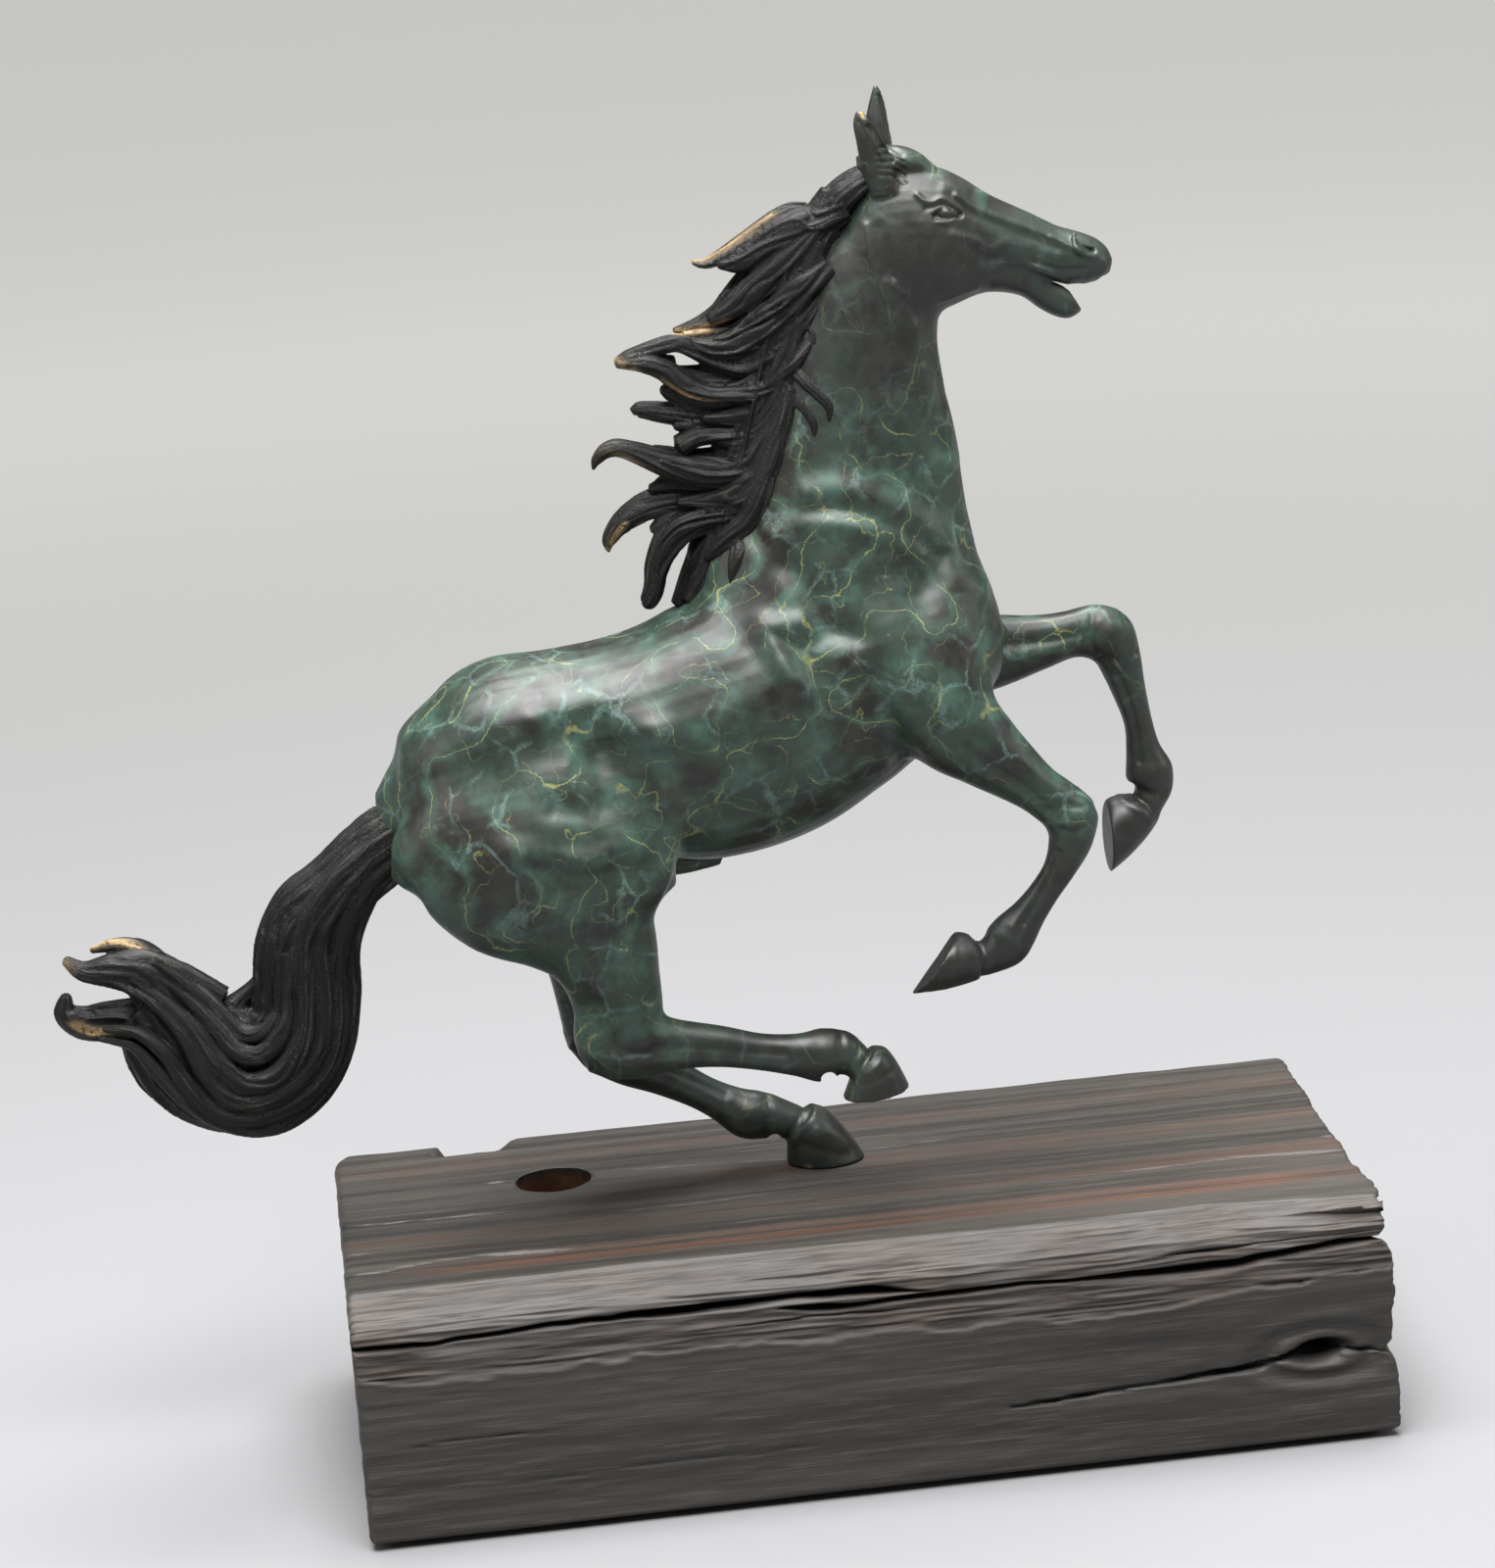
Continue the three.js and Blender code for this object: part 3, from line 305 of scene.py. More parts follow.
# Tendons, creases and muscle edges seen from the side: height, half width, then x, z.
SIDE_LINES = {
    "foreleg_right_casting": [
        (-0.9, 1.3, [[96.5, 247], [91.5, 236.5], [86, 227.5], [80, 219]]),
        (0.5, 1.5, [[93, 243], [87, 233], [81, 225], [75, 218]]),
        (-0.6, 1.1, [[97, 258], [103, 256], [110, 258.5]]),
        (-0.5, 1.0, [[99, 268], [106, 266.5], [113, 268]]),
        (0.7, 3.2, [[104, 262], [107, 262.5]]), (0.6, 3.4, [[72, 213], [74, 210]]),
        (-0.7, 1.2, [[67.5, 213], [68.5, 207], [68, 200]]),
        (0.5, 1.0, [[58.5, 212], [60.5, 205], [58.5, 197]]),
        (-0.5, 0.9, [[61, 212], [63, 205], [61, 197]]),
        (-1.2, 1.7, [[60, 298], [67, 290.5], [75, 284], [84, 276.5], [92, 267]]),
        (0.8, 2.4, [[66, 304], [75, 295], [84, 286], [93, 277], [100, 271]]),
        (0.5, 2.0, [[58, 289], [68, 284], [80, 276], [90, 268]]),
        (-0.25, 1.0, [[45, 211], [42, 200], [37, 192]]), (0.25, 1.0, [[50, 212], [49, 201], [45, 191]]),
    ],
    "foreleg_left_casting": [
        (0.9, 2.0, [[80, 319], [92, 320], [104, 320.5], [112, 319.5]]),
        (-1.1, 1.6, [[84, 325.5], [98, 325], [110, 325], [120, 326]]),
        (0.7, 2.6, [[88, 331.5], [104, 331.5], [120, 334]]),
        (-0.6, 1.1, [[126, 333], [124.5, 324], [127, 315]]), (0.7, 3.0, [[133, 325], [135, 322]]),
        (-0.5, 1.1, [[129, 315], [137, 313], [144, 315]]),
        (-0.9, 1.3, [[136, 306], [140.5, 292], [142.8, 278], [143, 268]]),
        (0.5, 1.6, [[133.5, 306], [138, 292], [140, 280]]), (0.7, 3.6, [[149, 262], [150, 258]]),
        (-0.7, 1.2, [[142, 256], [147, 253], [153, 253]]), (0.5, 1.0, [[135, 251], [141, 247], [146, 241]]),
        (-0.5, 0.9, [[138, 254], [143.5, 250], [149, 244]]),
    ],
    "hindleg_right_casting": [
        (0.9, 2.4, [[-109, 199], [-108, 189], [-103, 182]]),
        (-1.4, 3.2, [[-102, 203], [-101, 194], [-97, 187]]),
        (0.8, 3.0, [[-91, 193], [-84, 187], [-75, 184.5]]),
        (-0.6, 1.4, [[-95, 184], [-86, 180.5], [-76, 180.5]]),
        (-0.9, 1.4, [[-78, 183], [-60, 179.5], [-42, 175.5], [-24, 172.5]]),
        (0.6, 1.8, [[-76, 176], [-58, 173], [-40, 169.5], [-22, 165.5]]),
        (0.8, 3.6, [[-8, 173], [-5, 170]]), (-0.8, 1.3, [[1, 180], [0, 172], [0.5, 165]]),
        (0.5, 1.0, [[14, 174], [8, 167.5], [4, 159]]), (-0.5, 0.9, [[11.5, 175.5], [5, 168], [1, 160]]),
        (0.35, 1.2, [[10, 162], [16, 166.5], [21, 169]]), (-0.3, 1.0, [[8, 157], [17, 160], [24, 162]]),
    ],
    "hindleg_left_casting": [
        (0.9, 2.4, [[-111, 184], [-109, 174], [-103, 167]]),
        (-1.2, 3.0, [[-104, 190], [-102, 180], [-97, 172]]),
        (-0.9, 1.4, [[-86, 163], [-72, 155], [-58, 146.5], [-45, 139]]),
        (0.6, 1.8, [[-88, 156], [-72, 147.5], [-58, 138.5], [-46, 131]]),
        (0.9, 3.4, [[-36, 131], [-33, 129]]), (0.7, 2.4, [[-46, 126], [-40, 121.5]]),
        (-0.8, 1.3, [[-27, 134], [-27, 127], [-29, 119]]), (0.7, 1.1, [[-7, 126], [-13, 121], [-18, 113.5]]),
        (-0.6, 0.9, [[-10, 129], [-16, 123], [-21, 115]]), (0.6, 2.0, [[-7, 119], [0, 117], [6, 113]]),
        (-0.5, 1.6, [[-13, 114], [-4, 110.5], [5, 107.5]]),
    ],
    "head_casting": [
        (-0.7, 0.6, [[43, 542 - 2.6 * k], [49, 541.5 - 2.8 * k], [54, 538 - 2.8 * k]])
        for k in range(5)
    ] + [
        (-0.6, 0.7, [[43, 551], [44.5, 544], [46.5, 537]]), (0.5, 0.8, [[39.5, 554], [42, 546], [45.5, 538]]),
        (0.5, 1.0, [[103, 487.5], [110, 484.6], [116, 482.6], [124, 482.2]]),
        (-0.6, 0.8, [[104, 490.5], [110, 488], [117, 486], [126, 485.5]]),
        (-0.5, 1.4, [[84, 493], [95, 491], [104, 489]]),
    ],
}
# Rubbed golden edges: half width, then points x, y, z.
GOLD_LINES = [
    (1.3, [[-34, -1, 501.5], [-26, -2, 502.8], [-18, -3, 507.4], [-9, -3, 512], [0, -3, 517.5]]),
    (1.2, [[-43.5, -1, 473.2], [-37, -3, 473.4], [-29, -4, 474.4], [-22, -5, 478]]),
    (1.6, [[-68.5, -3, 463.2], [-66.5, -5, 462.2], [-62, -6, 460.5]]),
    (0.8, [[-50, -7, 455.5], [-43, -8, 449.5], [-35, -8, 445.8], [-27, -8, 445]]),
    (0.9, [[-80.5, -4, 424], [-76, -6, 428], [-70, -7, 426.5], [-61, -8, 419], [-53, -9, 413.5]]),
    (0.9, [[-77.5, 0, 386], [-74, -2, 391.5], [-70, -3, 396]]),
    (1.0, [[19.5, -4, 520], [17.2, -4, 515], [18.4, -4, 511]]),
    (1.2, [[-306, 3, 238.5], [-296, 1, 240.5], [-287, -1, 237.5], [-282, -3, 232.5]]),
    (1.5, [[-267, -11, 199], [-262, -12, 187], [-258, -12.5, 177.5], [-251, -13, 170], [-242, -13, 168]]),
    (1.3, [[-281, -8, 195], [-276.5, -10, 186], [-271, -11, 180]]),
    (1.2, [[-316, -3, 208], [-308, -4, 203.5], [-298, -5, 203.5]]),
    (1.3, [[-317, -2, 234], [-314, -3, 231]]),
]
# Bright coppery lines: the near ear's tip, where the brown is rubbed to bright metal, and a painted glint
# where the planted hoof meets the block.
RUBBED_AND_GLINT_LINES = [
    (0.5, [[37.5, -12, 559], [38, -12.8, 555]]),
    (0.7, [[-19, 20, 104], [-17, 17, 104.3], [-12, 15.5, 104.3]]),
]
# Painted shade, in a browner tone, on the legs, cheeks and face, in the eyes, nostrils and mouth, between the
# ears, under the mane and under the tail: x, y, z, reach and strength; then those on both sides of the head.
PAINTED_SHADE_PLACES = [
    (-60, 29, 140, 46, 0.8), (-10, 28, 112, 34, 0.9), (0, -29, 165, 40, 0.75), (-40, -29, 175, 34, 0.6),
    (80, -29, 215, 34, 1), (52, -29, 200, 34, 1), (145, 29, 265, 34, 1), (136, 29, 238, 34, 1),
    (42, 0, 548, 15, 1), (50, 0, 536, 9, 0.9), (-4, 0, 370, 12, 1), (-16, 0, 400, 12, 1),
    (-6, 0, 430, 12, 1), (4, 0, 460, 12, 1), (14, 0, 490, 12, 1), (-188, 0, 262, 12, 1),
    (122, -8, 484, 22, 0.8),
]
for x, y, z, reach, strength in (
    (60, 20, 495, 34, 1), (95, 12, 497, 24, 0.75), (34, 22, 470, 38, 0.85), (126, 9.5, 494.5, 2.4, 1),
    (67, 15, 513.5, 3.4, 1),
):
    PAINTED_SHADE_PLACES += [(x, -y, z, reach, strength), (x, y, z, reach, strength)]
HAUNCH_LEFT = [[x, z - 2, -y, depth, width] for x, z, y, depth, width in HAUNCH_RIGHT]


def place(points):
    """This script's millimetres as row frame metres."""
    return (np.asarray(points, float) + [SHIFT_X, 0, 0]) / 1000


def unit(vectors):
    """Rows of vectors brought to length one."""
    return vectors / np.maximum(np.linalg.norm(vectors, axis=-1, keepdims=True), 1e-9)


def catmull(points, t):
    """A Catmull-Rom curve through the points, at parameters 0 to 1 spread evenly over its knots."""
    points = np.asarray(points, float)
    padded = np.vstack([2 * points[0] - points[1], points, 2 * points[-1] - points[-2]])
    s = np.clip(t, 0, 1) * (len(points) - 1)
    i = np.minimum(s.astype(int), len(points) - 2)
    w = (s - i)[:, None]
    p0, p1, p2, p3 = padded[i], padded[i + 1], padded[i + 2], padded[i + 3]
    square, cube = 2 * p0 - 5 * p1 + 4 * p2 - p3, 3 * p1 - p0 - 3 * p2 + p3
    return 0.5 * (2 * p1 + (p2 - p0) * w + square * w**2 + cube * w**3)


def smooth_line(points, count=24):
    return catmull(points, np.linspace(0, 1, count))


def rings(stations, count):
    """Centres, sizes and the two cross axes of count rings along a loft."""
    table = np.array([list(s) + [0] * (6 - len(s)) for s in stations], float)
    t = np.linspace(0, 1, count)
    spine = table[:, [0, 2, 1]]
    sizes = np.maximum(catmull(table[:, 3:6], t), [0.4, 0.4, -720])
    along = catmull(spine, t + 1e-3) - catmull(spine, t - 1e-3)
    if len(stations[0]) > 5:
        turn = np.radians(sizes[:, 2])
        along = np.stack([np.cos(turn), 0 * turn, np.sin(turn)], 1)
    along = unit(along)
    up = unit(np.cross(along, np.where(np.abs(along[:, 1:2]) > 0.99, [1, 0, 0], [0, 1, 0])))
    return catmull(spine, t), sizes, up, np.cross(up, along)


def closed_tube(grid, centres, tips=(0, 0)):
    """Vertices, quads and triangles over a grid of rings, with a point as far out as tips at each end."""
    count, sides = grid.shape[:2]
    i, j = np.meshgrid(np.arange(count - 1), np.arange(sides), indexing="ij")
    a, b = i * sides + j, i * sides + (j + 1) % sides
    quads = np.stack([a, a + sides, b + sides, b], -1).reshape(-1, 4)
    j = np.arange(sides)
    k = (j + 1) % sides
    base, first = (count - 1) * sides, count * sides
    tris = [np.stack([0 * j + first, j, k], 1), np.stack([0 * j + first + 1, base + k, base + j], 1)]
    ends = []
    for (here, beside), tip in zip(((0, 1), (-1, -2)), tips):
        ends.append(centres[here] + unit(centres[here] - centres[beside]) * tip)
    return np.vstack([grid.reshape(-1, 3), ends]), quads, np.concatenate(tris)


def tube(centres, up, side, depths, widths, power=2.0, sides=10, round_ends=True):
    """A closed skin round a spine; a power above 2 makes its section squarer."""
    angle = 2 * np.pi * np.arange(sides) / sides
    u, v = (np.sign(wave) * np.abs(wave) ** (2 / power) for wave in (np.cos(angle), np.sin(angle)))
    across = up[:, None] * (u[:, None] * depths[:, None, None])
    grid = centres[:, None] + across + side[:, None] * (v[:, None] * widths[:, None, None])
    tips = [round_ends * 0.5 * min(depths[end], widths[end]) for end in (0, -1)]
    return closed_tube(grid, centres, tips)


def loft(stations, power=2.0, flat_end=False):
    centres, sizes, up, side = rings(stations, (len(stations) - 1) * 7 + 1)
    return tube(centres, up, side, sizes[:, 0], sizes[:, 1], power, 40, not flat_end)


def merge(meshes):
    """Several skins as one list of vertices, quads and triangles."""
    starts = np.cumsum([0] + [len(verts) for verts, _, _ in meshes])
    verts, quads, tris = zip(*[(v, q + n, t + n) for (v, q, t), n in zip(meshes, starts)])
    return np.vstack(verts), np.vstack(quads), np.vstack(tris)


def distances(mesh, pitch, low, high, band):
    """Signed distances to a closed skin, on the grid points low to high (counted in pitches)."""
    verts, quads, tris = mesh
    grid = vdb.FloatGrid.createLevelSetFromPolygons(
        verts.astype(np.float32) / pitch, triangles=tris.astype(np.uint32), quads=quads.astype(np.uint32),
        transform=vdb.createLinearTransform(voxelSize=1.0), halfWidth=band / pitch,
    )
    values = np.empty(tuple(high - low + 1), np.float32)
    grid.copyToArray(values, ijk=tuple(int(k) for k in low))
    return values * pitch


def smooth_min(a, b, k):
    """The lower of two distances, rounded where they are within k of each other."""
    if k <= 0:
        return np.minimum(a, b)
    h = np.clip(0.5 + 0.5 * (b - a) / k, 0, 1)
    return b + (a - b) * h - k * h * (1 - h)


class Field:
    """Distances to a growing body on a regular grid over a box, true up to reach from its parts."""

    def __init__(self, low, high, pitch, reach=2.5):
        self.pitch = pitch
        self.reach = max(reach, 3 * pitch)
        self.low = np.floor(np.array(low) / pitch).astype(int)
        self.high = np.ceil(np.array(high) / pitch).astype(int)
        self.values = np.full(tuple(self.high - self.low + 1), FAR, np.float32)

    def window(self, low, high):
        """The part of the grid inside a box, as slices and its corners, or None."""
        low = np.maximum(self.low, np.floor(np.array(low) / self.pitch).astype(int))
        high = np.minimum(self.high, np.ceil(np.array(high) / self.pitch).astype(int))
        if (low >= high).any():
            return None
        return tuple(slice(a, b + 1) for a, b in zip(low - self.low, high - self.low)), low, high

    def add(self, mesh, blend, sign=1):
        """Adds a closed skin, or with sign -1 carves it out."""
        found = self.window(mesh[0].min(0) - self.reach, mesh[0].max(0) + self.reach)
        if found:
            where, low, high = found
            near = distances(mesh, self.pitch, low, high, self.reach)
            self.values[where] = sign * smooth_min(sign * self.values[where], near, blend)

    def slice(self, point, normal, low, high):
        """Cuts off what is past a plane, inside a box."""
        found = self.window(low, high)
        if found:
            where, a, b = found
            x, y, z = (np.arange(a[k], b[k] + 1) * self.pitch - point[k] for k in range(3))
            n = unit(np.array(normal))
            past = x[:, None, None] * n[0] + y[None, :, None] * n[1] + z[None, None, :] * n[2]
            self.values[where] = -smooth_min(-self.values[where], -past, 0.8)

    def surface(self):
        """The skin where the distance is nought, as vertices and quads facing outward."""
        limit = 4 * self.pitch
        grid = vdb.FloatGrid(limit)
        grid.copyFromArray(np.clip(self.values, -limit, limit), ijk=tuple(int(k) for k in self.low))
        points, quads = grid.convertToQuads(isovalue=0.0)
        points = np.asarray(points, float) * self.pitch
        quads = np.asarray(quads, np.int64)
        a, b, c = points[quads[:, 0]], points[quads[:, 1]], points[quads[:, 2]]
        volume = np.einsum("ij,ij->i", np.cross(a, b), c).sum()
        return points, (quads if volume > 0 else quads[:, ::-1].copy())


def normals_of(points, quads):
    d1 = points[quads[:, 2]] - points[quads[:, 0]]
    d2 = points[quads[:, 3]] - points[quads[:, 1]]
    out = np.zeros_like(points)
    for k in range(4):
        np.add.at(out, quads[:, k], np.cross(d1, d2))
    return unit(out)


def distance_to_line(points, line):
    """Shortest distance of each point to a polyline."""
    best = np.full(len(points), 1e9)
    for a, b in zip(line[:-1], line[1:]):
        ab = b - a
        t = np.clip((points - a) @ ab / max(ab @ ab, 1e-9), 0, 1)
        best = np.minimum(best, np.linalg.norm(points - a - t[:, None] * ab, axis=1))
    return best


# How much higher than drawn the muscle lines stand on the head, and how much higher and wider elsewhere.
HEAD_RELIEF, BODY_RELIEF, BODY_SPREAD = 0.95, 1.2, 1.6


def press_sides(points, quads, lines, share=1.0, spread=1.0, allowed=1.0):
    """Raises and sinks lines seen from the side, on faces turned to either side."""
    normals = normals_of(points, quads)
    push = np.zeros(len(points))
    for *_, height, width, line in lines:
        width = width * spread
        line = smooth_line([[x, 0, z] for x, z in line])
        beyond = np.array([3.2 * width, 1000, 3.2 * width])
        low, high = line.min(0) - beyond, line.max(0) + beyond
        near = np.nonzero(np.all((points > low) & (points < high), axis=1))[0]
        if len(near):
            d = distance_to_line(points[near] * [1, 0, 1], line)
            turned = np.clip(1.6 * np.abs(normals[near, 1]), 0, 1)
            push[near] += share * height * np.exp(-0.5 * (d / width) ** 2) * turned
    return points + normals * (push * allowed)[:, None]


# ---- the bronze body ------------------------------------------------------------------------------
def mirrored(stations):
    return [[x, z, -y, *sizes] for x, z, y, *sizes in stations]


def both_sides(rows, blend):
    return [(rows, blend), (mirrored(rows), blend)]


# Lofts and how softly each joins those before it.
BODY = [
    (TRUNK, 0), (NECK, 10), (HAUNCH_RIGHT, 7), (HAUNCH_LEFT, 7), (GASKIN_RIGHT, 6), (GASKIN_LEFT, 6),
    (FOREARM_RIGHT, 8), (FOREARM_LEFT, 8), (HEAD, 5), (LOWER_JAW, 3.5), (SHEATH, 4), (DOCK, 12),
    (HIND_CANNON_RIGHT, 4), (HIND_CANNON_LEFT, 4), (FORE_CANNON_RIGHT, 4), (FORE_CANNON_LEFT, 4),
    (EAR_RIGHT, 2.5), (EAR_LEFT, 2.5), (FORELOCK, 2.5),
]
HOOVES = [HIND_HOOF_RIGHT, HIND_HOOF_LEFT, FORE_HOOF_RIGHT, FORE_HOOF_LEFT]
# Small forms cut into the castings, and small forms laid on them.
CARVED = [(MOUTH, 0.8)] + both_sides(EYE_SOCKET, 1.0) + both_sides(EAR_CUP, 1.0) + [(FAR_EAR_CUP, 0.8)]
CARVED += both_sides(NOSTRIL, 0.7) + [(notch, 1.6) for notch in FETLOCK_NOTCHES]
LAID_ON = both_sides(EYEBALL, 0.3) + both_sides(NOSTRIL_RIM, 1.4) + [(TONGUE, 1.2)]

# Weld planes between the castings: a point, the direction of the part further out, and the box the
# plane reaches.
EVERYWHERE = [[-400, -400, -400], [400, 400, 900]]
NECK_WELD = ([20, 0, 363], [0.04, 0, 1], EVERYWHERE)
HEAD_WELD = ([54, 0, 461], [0.837, 0, 0.548], EVERYWHERE)
FORE_WELD_RIGHT = ([74, -29, 289], [0.74, 0, -0.67], [[50, -60, 240], [110, 0, 320]])
FORE_WELD_LEFT = ([96, 29, 321], [1, 0, 0], [[90, 0, 290], [130, 60, 350]])
HIND_WELD_RIGHT = ([-93, -29, 213], [0.2, 0, -0.98], [[-140, -60, 180], [-50, 0, 240]])
HIND_WELD_LEFT = ([-97, 29, 205], [0.2, 0, -0.98], [[-140, 0, 170], [-50, 60, 232]])


def backward(weld):
    return weld[0], [-c for c in weld[1]], weld[2]


# Node it stands for: grid box, pitch, and the welds it ends at (everything past them is cut off).
CASTINGS = {
    "torso_casting": ([-182, -58, 186], [110, 58, 374], 1.2,
                      [NECK_WELD, FORE_WELD_RIGHT, FORE_WELD_LEFT, HIND_WELD_RIGHT, HIND_WELD_LEFT]),
    "neck_casting": ([-60, -42, 354], [100, 42, 520], 0.95, [backward(NECK_WELD), HEAD_WELD]),
    "head_casting": ([14, -24, 440], [144, 24, 572], 0.6, [backward(HEAD_WELD)]),
    "foreleg_right_casting": ([26, -48, 184], [120, -8, 300], 0.7, [backward(FORE_WELD_RIGHT)]),
    "foreleg_left_casting": ([88, 8, 210], [164, 48, 344], 0.7, [backward(FORE_WELD_LEFT)]),
    "hindleg_right_casting": ([-122, -52, 142], [30.5, -6, 222], 0.7, [backward(HIND_WELD_RIGHT)]),
    "hindleg_left_casting": ([-122, 6, 98], [24, 52, 214], 0.7, [backward(HIND_WELD_LEFT)]),
}


def new_object(name, points, faces):
    """A smooth mesh object from points in this script's millimetres and faces of four corners."""
    mesh = bpy.data.meshes.new(name)
    mesh.vertices.add(len(points))
    mesh.vertices.foreach_set("co", place(points).astype(np.float32).ravel())
    mesh.loops.add(faces.size)
    mesh.loops.foreach_set("vertex_index", faces.astype(np.int32).ravel())
    mesh.polygons.add(len(faces))
    mesh.polygons.foreach_set("loop_start", np.arange(0, faces.size, 4, dtype=np.int32))
    mesh.polygons.foreach_set("loop_total", np.full(len(faces), 4, np.int32))
    mesh.update(calc_edges=True)
    mesh.polygons.foreach_set("use_smooth", np.full(len(faces), True))
    obj = bpy.data.objects.new(name, mesh)
    bpy.context.scene.collection.objects.link(obj)
    return obj


def set_mask(obj, name, values):
    attribute = obj.data.attributes.get(name) or obj.data.attributes.new(name, "FLOAT", "POINT")
    attribute.data.foreach_set("value", np.asarray(values, np.float32))


def joined(starts, allowed=lambda vertex: True):
    """The vertices that edges join to the starts, through allowed vertices only."""
    found, stack = set(starts), list(starts)
    while stack:
        for edge in stack.pop().link_edges:
            for vertex in edge.verts:
                if vertex not in found and allowed(vertex):
                    found.add(vertex)
                    stack.append(vertex)
    return found


def cut_at_welds(obj, welds, scraps=None):
    """Cuts a casting off at its weld planes, closes the cuts and drops loose scraps."""
    bm = bmesh.new()
    bm.from_mesh(obj.data)
    for point, normal, (low, high) in welds:
        point, normal = Vector(place(point)), Vector(normal).normalized()
        low, high = place(low), place(high)
        inside = {v for v in bm.verts if all(low[k] <= v.co[k] <= high[k] for k in range(3))}
        past = {v for v in inside if (v.co - point).dot(normal) > 0}
        if len(inside) < len(bm.verts):
            # what hangs on the part past the plane goes too
            inside |= joined(past, lambda v: v in past or v not in inside)
        faces = {f for v in inside for f in v.link_faces}
        geometry = list({v for f in faces for v in f.verts}) + list({e for f in faces for e in f.edges})
        cut = bmesh.ops.bisect_plane(bm, geom=geometry + list(faces), plane_co=point, plane_no=normal,
                                     clear_outer=True)
        rim = [e for e in cut["geom_cut"] if isinstance(e, bmesh.types.BMEdge) and e.is_boundary]
        for edge in rim:
            edge.smooth = False
        bmesh.ops.holes_fill(bm, edges=rim, sides=0)
    drop_scraps(bm, scraps)
    bm.to_mesh(obj.data)
    bm.free()


def drop_scraps(bm, size=None):
    """Deletes all separate parts but the largest, or only those with fewer vertices than size."""
    left, groups = set(bm.verts), []
    while left:
        groups.append(joined([next(iter(left))]))
        left -= groups[-1]
    groups.sort(key=len)
    for group in groups[:-1]:
        if size is None or len(group) < size:
            bmesh.ops.delete(bm, geom=list(group), context="VERTS")


def body_field(low, high, pitch):
    field = Field(low, high, pitch, 13)
    for stations, blend in BODY:
        field.add(loft(stations, 2.15 if stations is TRUNK else 2.0), blend)
    for stations in HOOVES:
        field.add(loft(stations, flat_end=True), 1.6)
    for stations, blend in CARVED:
        field.add(loft(stations), blend, -1)
    for stations, blend in LAID_ON:
        field.add(loft(stations), blend)
    for point, normal, (corner, far_corner) in SOLES:
        field.slice(point, normal, corner, far_corner)
    return field


pieces = {}
for node, (low, high, pitch, welds) in CASTINGS.items():
    points, quads = body_field(low, high, pitch * COARSE).surface()
    relief = (HEAD_RELIEF, 1) if node == "head_casting" else (BODY_RELIEF, BODY_SPREAD)
    points = press_sides(points, quads, MUSCLE_LINES, *relief)
    for owner, lines in SIDE_LINES.items():
        if owner == node or "leg" in owner and node == "torso_casting":
            own_side = -points[:, 1] if "right" in owner else points[:, 1]
            allowed = 1.0 if owner == "head_casting" else np.clip(own_side / 6 - 1, 0, 1)
            points = press_sides(points, quads, lines, allowed=allowed)
    pieces[node] = new_object(node.replace("casting", "bronze"), points, quads)
    cut_at_welds(pieces[node], welds)


# ---- hair -----------------------------------------------------------------------------------------
MANE_WELD = ([-44, 0, 434], [0.1, 0, 1], EVERYWHERE)
POLL_TUFT = [
    [39, 529, 0, 5, 9], [33, 525.5, 0, 5.4, 10.5], [27, 521, 0, 5.2, 10], [23, 515.8, 0, 4.4, 8.5],
    [20.6, 511, 0, 3, 6], [19.6, 507.5, 0, 1.2, 2.5],
]
CREST = [
    [27, 523, 0, 6, 8], [17, 508, 0, 8, 9], [8, 490, 0, 9, 10], [0, 468, 0, 10, 10], [-8, 444, 0, 11, 10],
    [-17, 418, 0, 11, 10], [-27, 392, 0, 10, 9], [-38, 370, 0, 8, 8], [-46, 361, 0, 4, 5],
]


def wander(u, v, cells, seed):
    """Smooth noise, 0 to 1, that repeats in u every cells and runs on in v."""
    table = np.random.default_rng(seed).random((cells, 64))
    i, j = np.floor(u).astype(int), np.floor(v).astype(int)
    a, b = u - i, v - j
    a, b = a * a * (3 - 2 * a), b * b * (3 - 2 * b)
    i0, i1, j0, j1 = i % cells, (i + 1) % cells, j % 64, (j + 1) % 64
    near = table[i0, j0] * (1 - a) + table[i1, j0] * a
    far = table[i0, j1] * (1 - a) + table[i1, j1] * a
    return near * (1 - b) + far * b


